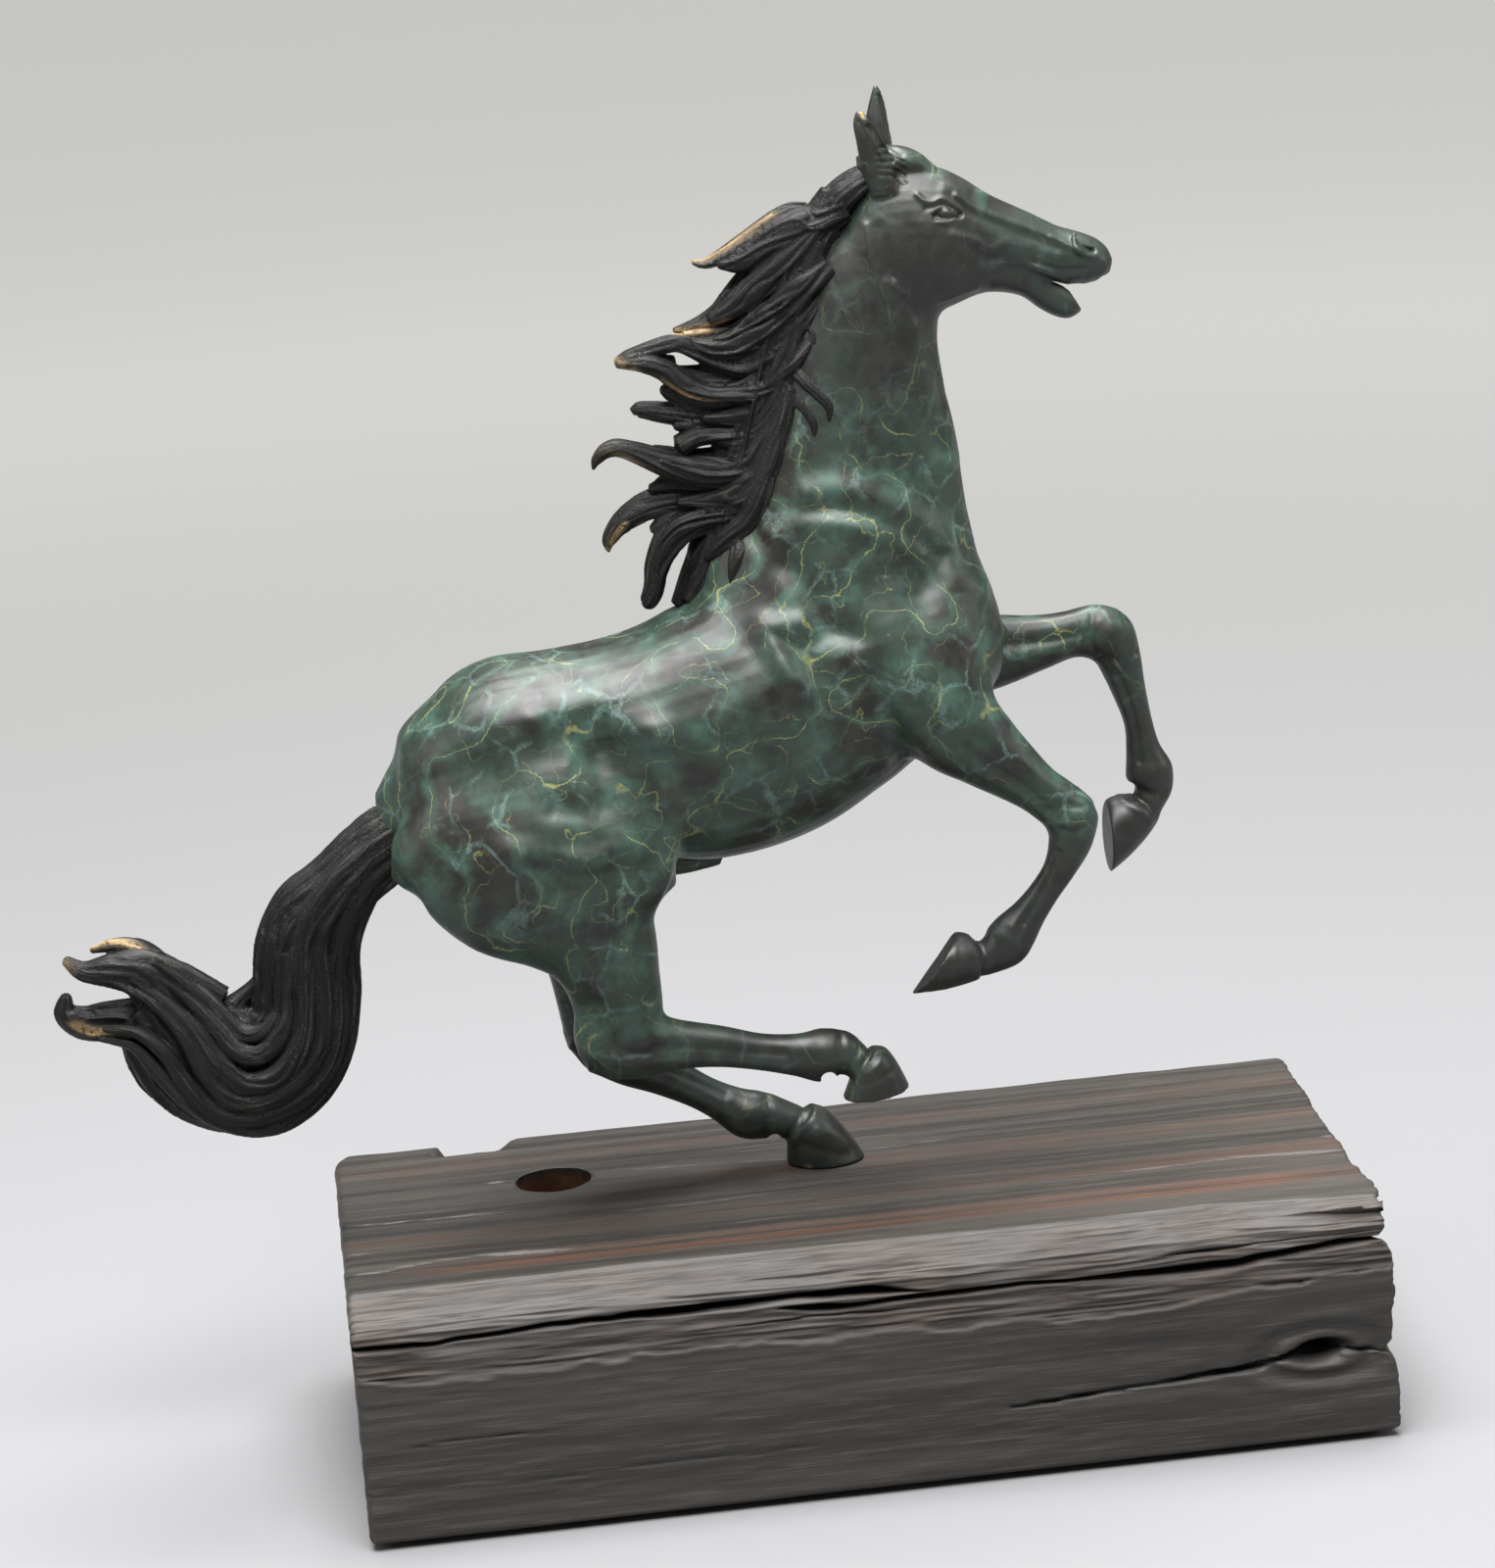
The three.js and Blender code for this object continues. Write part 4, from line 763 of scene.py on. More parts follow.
def hair_lock(stations, seed, strands=9, depth=0.3, sides=96):
    """A lock whose skin is furrowed into strands that drift round it towards the tip.

    Gives the skin, and for each vertex its place across the strands, its place along them, and how
    deep in a furrow it lies.
    """
    swell, strand_twist, strand_length = 1.1, 0.105, 26
    centres, sizes, up, side = rings(stations, (len(stations) - 1) * 9 + 1)
    depths, widths = sizes[:, :1], sizes[:, 1:2]
    length = np.linalg.norm(np.diff(centres, axis=0), axis=1).sum()
    turn, t = np.meshgrid(np.arange(sides) / sides, np.linspace(0, 1, len(centres)))
    run = t * length / strand_length
    drift = 1.5 * wander(turn * 5, run + seed, 5, seed) + 0.7 * wander(turn * 11, run * 2.2, 11, seed + 1)
    phase = strands * (turn + strand_twist * t) + drift
    coarse = np.abs(np.sin(np.pi * phase)) ** 0.75
    fine = np.abs(np.sin(np.pi * (2.6 * phase + 1.3 * wander(turn * 9, run * 1.7, 9, seed + 2)))) ** 0.8
    strength = 0.55 + 0.75 * wander(turn * 6, run * 1.2 + 3, 6, seed + 3)
    height = swell * depth * (0.72 * coarse + 0.28 * fine - 0.55) * strength
    least = np.minimum(depths, widths)
    extra = height * (0.4 * least + 0.6 * np.minimum(0.5 * (depths + widths), 2.2 * least))
    u = np.cos(2 * np.pi * turn) * (swell * depths + extra)
    v = np.sin(2 * np.pi * turn) * (swell * widths + extra)
    grid = centres[:, None] + up[:, None] * u[..., None] + side[:, None] * v[..., None]
    tip = 0.5 * sizes[[0, -1], :2].min()
    threads = [np.r_[(phase + 37 * seed).ravel(), 0, 0], np.r_[(t * length).ravel(), 0, length],
               np.r_[(1 - coarse).ravel(), 0, 0]]
    return closed_tube(grid, centres, (tip, tip)), np.stack(threads, 1)


def loose_strands(stations, seed, count):
    """Thin single strands that lie along a lock, half sunk in it."""
    rng = np.random.default_rng(seed)
    centres, sizes, up, side = rings(stations, 40)
    made = []
    for _ in range(count):
        start, end = rng.uniform(0, 0.35), rng.uniform(0.6, 0.96)
        angle = rng.uniform(0, 2 * np.pi)
        swing = rng.uniform(-0.9, 0.9)
        share = np.linspace(0, 1, 26)
        rows = np.clip(((start + (end - start) * share) * 39).astype(int), 0, 39)
        at = angle + swing * share
        lift = 1.12 + 0.1 * np.sin(np.pi * share)
        path = centres[rows] + up[rows] * (np.cos(at) * sizes[rows, 0] * lift)[:, None]
        path += side[rows] * (np.sin(at) * sizes[rows, 1] * lift)[:, None]
        path = smooth_line(path[::4], 30)
        thick = 0.9 * (0.35 + 0.65 * np.sin(np.pi * np.linspace(0.12, 0.95, 30)) ** 0.7)
        along = unit(np.gradient(path, axis=0))
        across = unit(np.cross(along, [0.1, 1, 0.05]))
        made.append(tube(path, across, np.cross(across, along), thick, thick))
    return made


def grow_hair(locks, pitch, low, high, seed):
    """One skin round all the locks, and for each of its vertices the nearest strand's coordinates."""
    field = Field(low, high, pitch * COARSE)
    skins, threads, extra = [], [], []
    for k, (stations, strands, depth, loose) in enumerate(locks):
        skin, thread = hair_lock(stations, seed + 11 * k, strands, depth)
        skins.append(skin[0])
        threads.append(thread)
        field.add(skin, 0.5)
        extra += loose_strands(stations, seed + 11 * k + 5, loose)
    field.add(merge(extra), 0.4)
    points, quads = field.surface()
    verts, values = np.vstack(skins)[::2], np.vstack(threads)[::2]
    tree = KDTree(len(verts))
    for i, v in enumerate(verts):
        tree.insert(v, i)
    tree.balance()
    nearest = np.fromiter((tree.find(p)[1] for p in points), np.int64, len(points))
    return points, quads, values[nearest]


def half_width_at(skins, x, z):
    """How far out in y a set of skins comes at a place seen from the side."""
    verts = np.vstack([skin[0] for skin in skins])
    close = np.hypot(verts[:, 0] - x, verts[:, 2] - z) < 2.6
    return np.abs(verts[close, 1]).max() if close.any() else 0.0


def streams(paths, under, half_out, sunk, size, strands):
    """Flat bundles of hair that follow paths over both sides of what lies under them."""
    made = []
    for path, (root_out, tip_out), wide in paths:
        table = []
        for (x, z), t in zip(path, np.linspace(0, 1, len(path))):
            y = max(half_width_at(under, x, z) - sunk, root_out + (tip_out - root_out) * t)
            taper = min(1.0, 0.45 + 2.2 * t, 0.3 + 2.4 * (1 - t))
            table.append([x, z, -y, wide * taper * size, half_out * (0.5 + 0.5 * taper)])
        made += [(table, strands, 0.4, 0), (mirrored(table), strands, 0.4, 0)]
    return made


# Hair flowing from the poll down the neck and out into the locks: x, z; how far out in y at least, at
# its root and its end; and half width.
MANE_STREAMS = [
    ([[18, 513], [9, 510.5], [-3, 506], [-14, 500.5], [-24, 499.5]], (8, 4), 4.6),
    ([[17, 511], [7, 502], [-5, 492.5], [-17, 483.5], [-29, 477.5]], (9, 4), 5.4),
    ([[18, 506], [11, 494], [0, 481], [-12, 471.5], [-24, 467]], (9, 5), 5.2),
    ([[15, 499], [9, 486], [0, 472], [-10, 462.5], [-21, 459.5]], (9, 5), 4.8),
    ([[13, 492], [8, 478], [0, 463], [-10, 452], [-21, 447.5], [-33, 448.5]], (9, 5), 4.8),
    ([[10, 484], [5, 468], [-2, 453], [-10, 442], [-21, 437.3], [-35, 437.5]], (9, 5), 4.8),
    ([[7, 472], [2, 456], [-5, 441], [-13, 431], [-22, 427], [-30, 427.5]], (9, 5), 3.6),
    ([[5, 462], [0, 447], [-7, 431], [-16, 419.5], [-27, 415], [-40, 416]], (9, 5), 4.6),
    ([[1, 448], [-4, 432], [-12, 416], [-22, 407], [-34, 403.5], [-48, 404]], (9, 5), 4.6),
    ([[-3, 435], [-9, 418], [-17, 405], [-28, 398.5], [-39, 396], [-48, 391.5]], (9, 5), 4.4),
    ([[-8, 422], [-14, 406], [-21, 395], [-30, 387], [-38, 380]], (9, 5), 4.2),
    ([[-13, 408], [-19, 394], [-25, 381], [-30, 369]], (9, 6), 4.2),
]
NECK_CURLS = [
    ([[2, 484], [0, 470], [2, 459], [7, 451], [12, 445.5], [15.5, 440], [15, 434]], (6, 6), 2.6),
    ([[-2, 466], [-2, 454], [1, 446], [6, 440], [9, 433], [8, 425]], (6, 6), 2.4),
    ([[8, 500], [6, 488], [8, 478], [12, 470], [13, 462]], (6, 6), 2.2),
]
TAIL_STREAMS = [
    ([[-166, 283], [-177, 278], [-190, 270], [-203, 259.5], [-214, 246], [-219, 228], [-219, 208],
      [-223, 192], [-235, 180], [-248, 178], [-258, 188], [-266, 202], [-277, 215], [-290, 226]],
     (6, 4), 4.2),
    ([[-166, 278], [-178, 272], [-191, 263.5], [-204, 250], [-212, 234], [-212, 210], [-216, 190],
      [-229, 175], [-245, 169.5], [-257, 174], [-265, 187], [-272, 202], [-283, 216], [-297, 225]],
     (6, 3), 4.0),
    ([[-166, 272], [-177, 266.5], [-189, 258], [-200, 243], [-206, 222], [-207, 200], [-213, 181],
      [-228, 167], [-247, 162.5], [-262, 168], [-273, 181], [-280, 194], [-290, 203], [-304, 206]],
     (6, 3), 4.2),
    ([[-168, 267], [-178, 261], [-189, 251.5], [-199, 232], [-201, 208], [-206, 186], [-218, 168],
      [-236, 157.5], [-254, 159.5], [-270, 170], [-282, 184], [-292, 197], [-306, 202]], (6, 3), 3.8),
    ([[-226, 232], [-227, 212], [-231, 198], [-240, 190], [-250, 192], [-258, 203], [-268, 215], [-279, 226]],
     (6, 4), 3.6),
    ([[-232, 206], [-238, 199], [-247, 199], [-256, 208], [-268, 221], [-280, 232]], (6, 4), 3.2),
]
# Hair that closes the spaces between neighbouring locks, down to the small holes: x, z, half depth.
MANE_WEBS = [
    [[-44.6, 461, 2.2], [-50, 462, 2.6]],
    [[-29, 456.5, 3], [-33.2, 459.4, 2.2]],
    [[-16, 473, 4], [-24, 471.5, 3], [-32, 471.8, 2.4], [-40, 472, 1.4]],
    [[-12, 452, 4.6], [-24, 453, 4.4], [-34, 453.6, 3.9], [-43, 455.4, 3.2], [-50, 458.5, 2.6]],
    [[-8, 446, 4.8], [-18, 442.6, 4.6], [-28, 442.8, 4.2], [-38, 445.2, 3.8], [-46, 448.2, 3.2],
     [-50.5, 450.6, 1.6]],
    [[-10, 437, 4], [-22, 433.6, 3.6], [-32, 433.8, 3.4], [-40, 434.4, 3.2], [-46.5, 434.8, 1.6]],
    [[-8, 429, 4.5], [-19, 424.6, 4.2], [-28, 423.4, 3.6], [-31.5, 423, 2]],
    [[-22, 418.5, 4], [-32, 419.6, 3.4], [-42, 420.6, 3], [-50, 423.6, 2.6], [-56, 426, 1.4]],
    [[-24, 409, 4], [-36, 409.6, 3.6], [-48, 411.4, 3.6], [-58.5, 409.6, 1.6]],
    [[-30, 401, 4], [-42, 398.6, 3.8], [-52, 395.8, 3.6], [-59, 392, 1.8]],
    [[-26, 393, 5], [-35, 387, 4.8], [-41, 381.5, 3.4], [-43.5, 378, 1.6]],
    [[-24, 388, 4.4], [-31, 382, 4.2], [-36, 379.4, 2.4]],
]
neck_skins = [loft(NECK), loft(HEAD), loft(TRUNK, 2.15)]
# Locks: stations, strands round each, how deep the furrows are, loose strands.
mane_locks = [(CREST, 15, 0.22, 6), (POLL_TUFT, 12, 0.42, 9)]
for lock in MANE_LOCKS:
    narrow_root = [lock[0][:4] + [9]] + lock[1:]
    mane_locks.append((narrow_root, 8 if len(lock) < 6 else 9, 0.34, 4))
for web in MANE_WEBS:
    mane_locks.append(([[x, z, 0, half, 2.76 + 0.368 * half] for x, z, half in web], 7, 0.3, 2))
mane_locks += streams(MANE_STREAMS, neck_skins, 3.0, 1.4, 1.0, 8)
mane_locks += streams(NECK_CURLS, neck_skins, 1.5, 1.0, 1.0, 4)
mane = grow_hair(mane_locks, 0.6, [-88, -26, 354], [46, 26, 544], 40)
tail_skins = [hair_lock(stations, 1, 8, 0.0, 48)[0] for stations in [TAIL] + TAIL_TIPS]
tail_locks = [(TAIL, 17, 0.24, 12), (TAIL_BRIDGE, 5, 0.2, 0)] + [(tip, 7, 0.3, 3) for tip in TAIL_TIPS]
tail_locks += streams(TAIL_STREAMS, tail_skins, 3.0, 1.9, 1.05, 9)
tail = grow_hair(tail_locks, 0.76, [-326, -22, 146], [-150, 22, 318], 90)
HAIR_PIECES = {
    "mane_upper_casting": (mane, [backward(MANE_WELD)]),
    "mane_lower_casting": (mane, [MANE_WELD]),
    "tail_casting": (tail, []),
}
for node, ((points, quads, threads), welds) in HAIR_PIECES.items():
    pieces[node] = new_object(node.replace("casting", "hair"), points, quads)
    for name, values in zip(("strand", "along", "hollow"), threads.T):
        set_mask(pieces[node], name, values)
    cut_at_welds(pieces[node], welds, scraps=400)


# ---- timber block ---------------------------------------------------------------------------------
BLOCK_TOP, BLOCK_BOTTOM = BLOCK_HIGH.z * 1000, BLOCK_LOW.z * 1000
HALF_WIDTH = (BLOCK_HIGH.y - BLOCK_LOW.y) * 500
LEFT_END, RIGHT_END = -215.0, 215.0
# Cracks of the front: x and z along the crack, greatest half width, depth.
CRACKS = [
    ([[-222, 87.6], [-183, 87], [-132, 89.6], [-81, 89.8], [-30, 91], [2, 89.2], [26, 86.4]], 1.15, 10),
    ([[-40, 85.6], [-15, 83.6], [23, 84.4], [60, 84.8], [106, 83.8], [151, 83.4], [182, 86.6], [222, 88.4]],
     1.0, 10),
    ([[46, 31.5], [60, 32.4], [95, 34.6], [134, 36.5], [161, 37.4], [172, 41], [184, 42.4], [222, 37.5]],
     0.8, 6),
    ([[-196, 96.2], [-178, 96.8], [-160, 96.6]], 0.5, 1.6),
    ([[-60, 80.3], [-20, 80.8], [20, 79.6]], 0.45, 1.8),
    ([[120, 90.2], [150, 91], [196, 92.4]], 0.5, 2.0),
    ([[-150, 24], [-90, 25.5], [-20, 24.5]], 0.4, 0.9),
    ([[-214, 44], [-170, 45.2], [-120, 44.4]], 0.45, 1.2),
]
# Cracks of the top: x and y along the crack, greatest half width, depth.
TOP_CRACKS = [
    ([[-222, -55.5], [-200, -53.5], [-179, -48.5], [-157, -47], [-105, -52.5]], 0.8, 2.6),
    ([[-222, -31.5], [-206, -30], [-193, -28.6]], 0.8, 2.4),
    ([[-222, 8], [-176, 4.6], [-131, 3.6]], 0.7, 1.6),
    ([[-126, -9.7], [-71, -11.4], [-20, -9]], 0.5, 0.8),
    ([[-152, 44.5], [-140, 43]], 1.4, 6.0),
    ([[113, -29.6], [140, -28.9], [169, -26.4], [222, -33.5]], 0.7, 1.2),
    ([[205, -11], [222, -15]], 0.9, 2.2),
    ([[-97, 42], [-22, 34], [60, 37]], 0.5, 0.8),
    ([[6, 41], [72, 49]], 0.5, 0.7),
]
# The top's front edge, y by x, and the foot of the worn band below it, z by x.
TOP_EDGE = [[-222, -77.5], [-158, -76.8], [-92, -76.3], [6, -79.6], [58, -81.5], [103, -82.5], [142, -79.5],
            [200, -88], [222, -90]]
BAND_FOOT = [[-222, 73.8], [-170, 70.6], [-126, 71.5], [-83, 71.2], [-39, 71.5], [37, 68.6], [90, 67.2],
             [120, 68.4], [150, 71], [222, 76]]
# The ragged right end: its x by y on the top, and by z on the front.
RIGHT_OUTLINE_TOP = [[-102, 212.5], [-77, 214.4], [-43, 212.4], [-9, 213.4], [20, 213], [47, 214.6],
                     [103, 214.8]]
RIGHT_OUTLINE_FRONT = [[3, 213.5], [6, 215.6], [24, 215.4], [36, 213.8], [39, 210], [43, 213.8], [60, 214.8],
                       [78, 215], [85, 213], [88, 209.5], [91, 212.4], [103, 212.6]]
BACK, TOP, BAND_FACE, FRONT, UNDER = range(5)  # the kinds of rows round the block


def follow(table, x):
    table = np.array(table, float)
    return np.interp(x, table[:, 0], table[:, 1])


def streaks(x, s, length, width, seed):
    """Noise drawn out along the grain, -0.5 to 0.5."""
    return wander(s / width + 500, x / length + 40, 211, seed) - 0.5


def block_outline(x):
    """Corner to corner round the block's cross-section at x: y, z and the kind of row."""
    edge = follow(TOP_EDGE, x)
    rows = []

    def line(y0, z0, y1, z1, count, kind):
        for t in np.arange(count) / count:
            rows.append((y0 + (y1 - y0) * t, z0 + (z1 - z0) * t, kind))

    line(HALF_WIDTH, BLOCK_BOTTOM + 1, HALF_WIDTH, BLOCK_TOP - 3, 34, BACK)
    for a in np.linspace(0, np.pi / 2, 6)[:-1]:
        rows.append((HALF_WIDTH - 3 + 3 * np.cos(a), BLOCK_TOP - 3 + 3 * np.sin(a), BACK))
    line(HALF_WIDTH - 3, BLOCK_TOP, edge, BLOCK_TOP, 158, TOP)
    band_y = [edge, edge - 2.5, edge - 9, -95.5, -99.8, -101.8, -HALF_WIDTH, -HALF_WIDTH]
    band_z = [BLOCK_TOP - down for down in (0, 0.7, 2.4, 4.6, 7.5, 11, 16)] + [66]
    steps = np.r_[0, np.cumsum(np.hypot(np.diff(band_y), np.diff(band_z)))]
    for d in np.linspace(0, steps[-1], 116)[:-1]:
        rows.append((np.interp(d, steps, band_y), np.interp(d, steps, band_z), BAND_FACE))
    line(-HALF_WIDTH, 66, -HALF_WIDTH, BLOCK_BOTTOM + 1.2, 62, FRONT)
    line(-HALF_WIDTH, BLOCK_BOTTOM + 1.2, -HALF_WIDTH + 1.2, BLOCK_BOTTOM, 2, UNDER)
    line(-HALF_WIDTH + 1.2, BLOCK_BOTTOM, HALF_WIDTH - 1, BLOCK_BOTTOM, 20, UNDER)
    line(HALF_WIDTH - 1, BLOCK_BOTTOM, HALF_WIDTH, BLOCK_BOTTOM + 1, 2, UNDER)
    return np.array(rows)


def crack_depth(x, across, cracks, seed):
    total = np.zeros(np.broadcast(x, across).shape)
    for k, (line, half, depth) in enumerate(cracks):
        centre = follow(line, x) + 0.7 * streaks(x, 0 * x + 9 * k, 9, 1, seed + k)
        gape = np.clip(np.minimum((x - line[0][0]) / 22, (line[-1][0] - x) / 22), 0, 1) ** 0.5
        gape = gape * (1 + 0.76 * streaks(x, 0 * x + 5 * k, 28, 1, seed + 50 + k))
        width = np.maximum(half * gape, 0.12)
        total = np.maximum(total, depth * gape * np.exp(-((np.abs(across - centre) / width) ** 2.4)))
    return total


def grain_relief(x, s, kind, band):
    """How far the weathered grain stands out; s is the way round the cross-section."""
    push = 0.5 * streaks(x, s, 90, 26, 11) + 0.16 * streaks(x, s, 26, 2.6, 12)
    push += np.where(kind == TOP, 0.16 * streaks(x, s, 50, 2.2, 13), 0)
    sides = 0.5 * streaks(x, s, 16, 3.2, 14) + 0.3 * streaks(x, s, 30, 1.4, 15)
    push += np.where((kind == FRONT) | (kind == BACK), sides, 0)
    fibre = 0.5 * streaks(x, s, 12, 1.0, 17) - 2.6 * np.abs(streaks(x, s, 34, 2.1, 16))
    return push + band * (fibre - 4.5 * np.clip(streaks(x, s, 60, 5.5, 18) - 0.1, 0, 1) - 0.5)


def knot_dent(x, z):
    """The knot hole by the right end, the ripples round it and a shallow hollow before it."""
    knot = ((x - 187) / 11) ** 2 + ((z - 42) / 4.6) ** 2
    around = ((x - 184) / 30) ** 2 + ((z - 41) / 13) ** 2
    ripples = 2.6 * np.exp(-around) * (0.8 + 0.8 * np.sin(np.sqrt(around) * 9))
    return 10 * np.exp(-knot * 1.6) + ripples + 1.6 * np.exp(-(((x - 112) / 26) ** 2) - ((z - 52) / 7) ** 2)


def end_cap(ring, start, here, outward, rough):
    """Rings shrinking to the middle of an end: points and faces; outward is -1 or 1."""
    rows = len(ring)
    centre = np.array([ring[:, 0].mean(), 0, 0.5 * (BLOCK_TOP + BLOCK_BOTTOM)])
    turn = slice(None) if outward > 0 else slice(None, None, -1)
    points, faces = [], []
    j = np.arange(rows)
    for share in np.r_[0.985, 0.96, np.linspace(0.92, 0.04, 22)]:
        inner = centre + (ring - centre) * share
        radius = np.hypot(inner[:, 1] + 40, inner[:, 2] + 60)
        inner[:, 0] = ring[:, 0] * share**2 + centre[0] * (1 - share**2)
        saw_marks = 1.4 * streaks(inner[:, 1], inner[:, 2], 9, 7, 41) + 0.5 * np.sin(radius / 1.1)
        inner[:, 0] -= outward * (0.4 + rough * saw_marks) * min(1, (1 - share) * 9)
        points.append(inner)
        quads = np.stack([start + j, start + (j + 1) % rows, here + (j + 1) % rows, here + j], -1)
        faces.append(quads[:, turn])
        start, here = here, here + rows
    points.append(inner.mean(0, keepdims=True))
    j = np.arange(0, rows - 1, 2)
    faces.append(np.stack([start + j, start + j + 1, start + (j + 2) % rows, 0 * j + here], -1)[:, turn])
    return np.vstack(points), np.vstack(faces)


def build_block():
    ends = np.r_[0, 0.5, 1.1, 2, 3.2, 5]
    middle = np.linspace(LEFT_END + 7.5, RIGHT_END - 7.5, int(158 / COARSE))
    xs = np.r_[LEFT_END + ends, middle, RIGHT_END - ends[::-1]]
    outline = np.stack([block_outline(x) for x in xs])
    y, z, kind = outline[..., 0], outline[..., 1], outline[..., 2]
    x = np.broadcast_to(xs[:, None], y.shape).copy()
    columns, rows = y.shape
    s = np.cumsum(np.r_[0, np.hypot(np.diff(y[0]), np.diff(z[0]))])[None] + 0 * y
    tangent = np.roll(outline, -1, 1) - np.roll(outline, 1, 1)
    ny, nz = unit(np.stack([tangent[..., 1], -tangent[..., 0]], -1)).transpose(2, 0, 1)

    foot = follow(BAND_FOOT, x) + 3.2 * streaks(x, 0 * x, 11, 1, 3) + 1.6 * streaks(x, 0 * x + 7, 4, 1, 4)
    band = (kind == BAND_FACE) * np.clip((z - foot) / 1.4, 0, 1) * np.clip(BLOCK_TOP + 0.2 - z, 0, 1)
    in_front = (kind == BAND_FACE) | (kind == FRONT)
    push = grain_relief(x, s, kind, band) + 0.35 * in_front * np.exp(-(((z - foot) / 1.6 + 0.4) ** 2))
    cracks = crack_depth(x, z, CRACKS, 60) * in_front
    cracks += crack_depth(x, y, TOP_CRACKS, 90) * ((kind == TOP) & (y > follow(TOP_EDGE, x)))
    dent = in_front * knot_dent(x, z)
    # a chip out of the back edge
    along_chip = np.clip(np.minimum((x + 173) / 5, (-137 - x) / 10), 0, 1)
    chip = 8.5 * along_chip**2 * (3 - 2 * along_chip) * ((kind <= TOP) & (z > 60))
    chip = chip * np.clip((y - 87 - 2 * streaks(x, s, 8, 9, 31)) / 15.5, 0, 1) ** 0.7
    y = y + ny * (push - cracks - dent)
    z = z + nz * (push - cracks - dent)
    z = z - chip * np.clip((z - 60) / 40, 0, 1)

    # the two ends
    for gap, radius in ((x - LEFT_END, 3.2), (RIGHT_END - x, 1.6)):
        inset = radius - np.sqrt(np.maximum(radius**2 - np.clip(radius - gap, 0, radius) ** 2, 0))
        y, z = y - ny * inset, z - nz * inset
    end_right = np.where(kind >= BAND_FACE, follow(RIGHT_OUTLINE_FRONT, z), follow(RIGHT_OUTLINE_TOP, y))
    end_right += streaks(0 * x, s, 1, 4.5, 33) + 0.8 * streaks(0 * x, s, 1, 1.8, 34)
    end_right -= 0.7 * np.clip(cracks, 0, 6)
    back_round = np.clip((outline[..., 0] - 90) / 12.5, 0, 1) ** 2 * 6
    end_left = LEFT_END + back_round + 0.5 * streaks(0 * x, s, 1, 6, 35)
    share = (x - LEFT_END) / (RIGHT_END - LEFT_END)
    x = end_left * (1 - share) + end_right * share
    # cracks and the knot hole get painted shade, darker the deeper they are
    deep = np.clip(np.clip(cracks / 3, 0, 1) + np.clip(dent / 7, 0, 1), 0, 1)

    sides = np.stack([x, y, z], -1)
    i, j = np.meshgrid(np.arange(columns - 1), np.arange(rows), indexing="ij")
    a, b = i * rows + j, i * rows + (j + 1) % rows
    points, faces = [sides.reshape(-1, 3)], [np.stack([a, b, b + rows, a + rows], -1).reshape(-1, 4)]
    for column, outward, rough in ((0, -1, 0.35), (columns - 1, 1, 1.0)):
        cap, quads = end_cap(sides[column], column * rows, sum(map(len, points)), outward, rough)
        points.append(cap)
        faces.append(quads)
    points = np.vstack(points)
    masks = np.zeros((len(points), 3))
    masks[:x.size, 0], masks[:x.size, 1], masks[x.size:, 2] = band.ravel(), deep.ravel(), 1
    return points, np.vstack(faces), masks


def rough_bore(name, centre, radius, top, seed, unevenness=0.1, sides=64, levels=8, squeeze=1.0):
    """A closed, slightly uneven upright cylinder to cut with, from below the block up to top."""
    turn, height = np.meshgrid(np.arange(sides) / sides, np.linspace(-6, top, levels))
    r = radius + unevenness * (wander(turn * 9, height / 14 + 3, 9, seed) - 0.5)
    r += 0.6 * unevenness * (wander(turn * 31, height / 30, 31, seed + 1) - 0.5)
    x, y = centre[0] + r * np.cos(2 * np.pi * turn), centre[1] + r * squeeze * np.sin(2 * np.pi * turn)
    ends = np.array([[*centre, -6], [*centre, top]])
    verts, quads, tris = closed_tube(np.stack([x, y, height], -1), ends)
    mesh = bpy.data.meshes.new(name)
    mesh.from_pydata(place(verts).tolist(), [], quads.tolist() + tris.tolist())
    bm = bmesh.new()
    bm.from_mesh(mesh)
    bmesh.ops.recalc_face_normals(bm, faces=bm.faces)
    bm.to_mesh(mesh)
    bm.free()
    obj = bpy.data.objects.new(name, mesh)
    bpy.context.scene.collection.objects.link(obj)
    return obj


def cut_out(obj, cutters):
    for cutter in cutters:
        modifier = obj.modifiers.new("cut", "BOOLEAN")
        modifier.operation, modifier.object, modifier.solver = "DIFFERENCE", cutter, "MANIFOLD"
    bpy.context.view_layer.update()
    graph = bpy.context.evaluated_depsgraph_get()
    mesh = bpy.data.meshes.new_from_object(obj.evaluated_get(graph))
    obj.modifiers.clear()
    obj.data = mesh
    for cutter in cutters:
        bpy.data.objects.remove(cutter)


stud_low, stud_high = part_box("mounting_stud")
STUD_AT = [(stud_low.x + stud_high.x) * 500 - SHIFT_X, (stud_low.y + stud_high.y) * 500]
SPIKE_HOLE_AT = [-121, 39]
WASHER_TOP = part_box("stud_washer")[1].z * 1000
points, faces, masks = build_block()
block = new_object("wood_block_timber", points, faces)
for name, values in zip(("worn", "deep", "endgrain"), masks.T):
    set_mask(block, name, values)
cut_out(block, [
    rough_bore("spike_hole", SPIKE_HOLE_AT, 16.3, 112, 5, 1.1, 72, 26, 0.97),
    rough_bore("stud_bore", STUD_AT, 4.5, 112, 6, 0.1, 32),
    rough_bore("washer_bore", STUD_AT, 20, WASHER_TOP + 0.3, 7, 0.2),
])


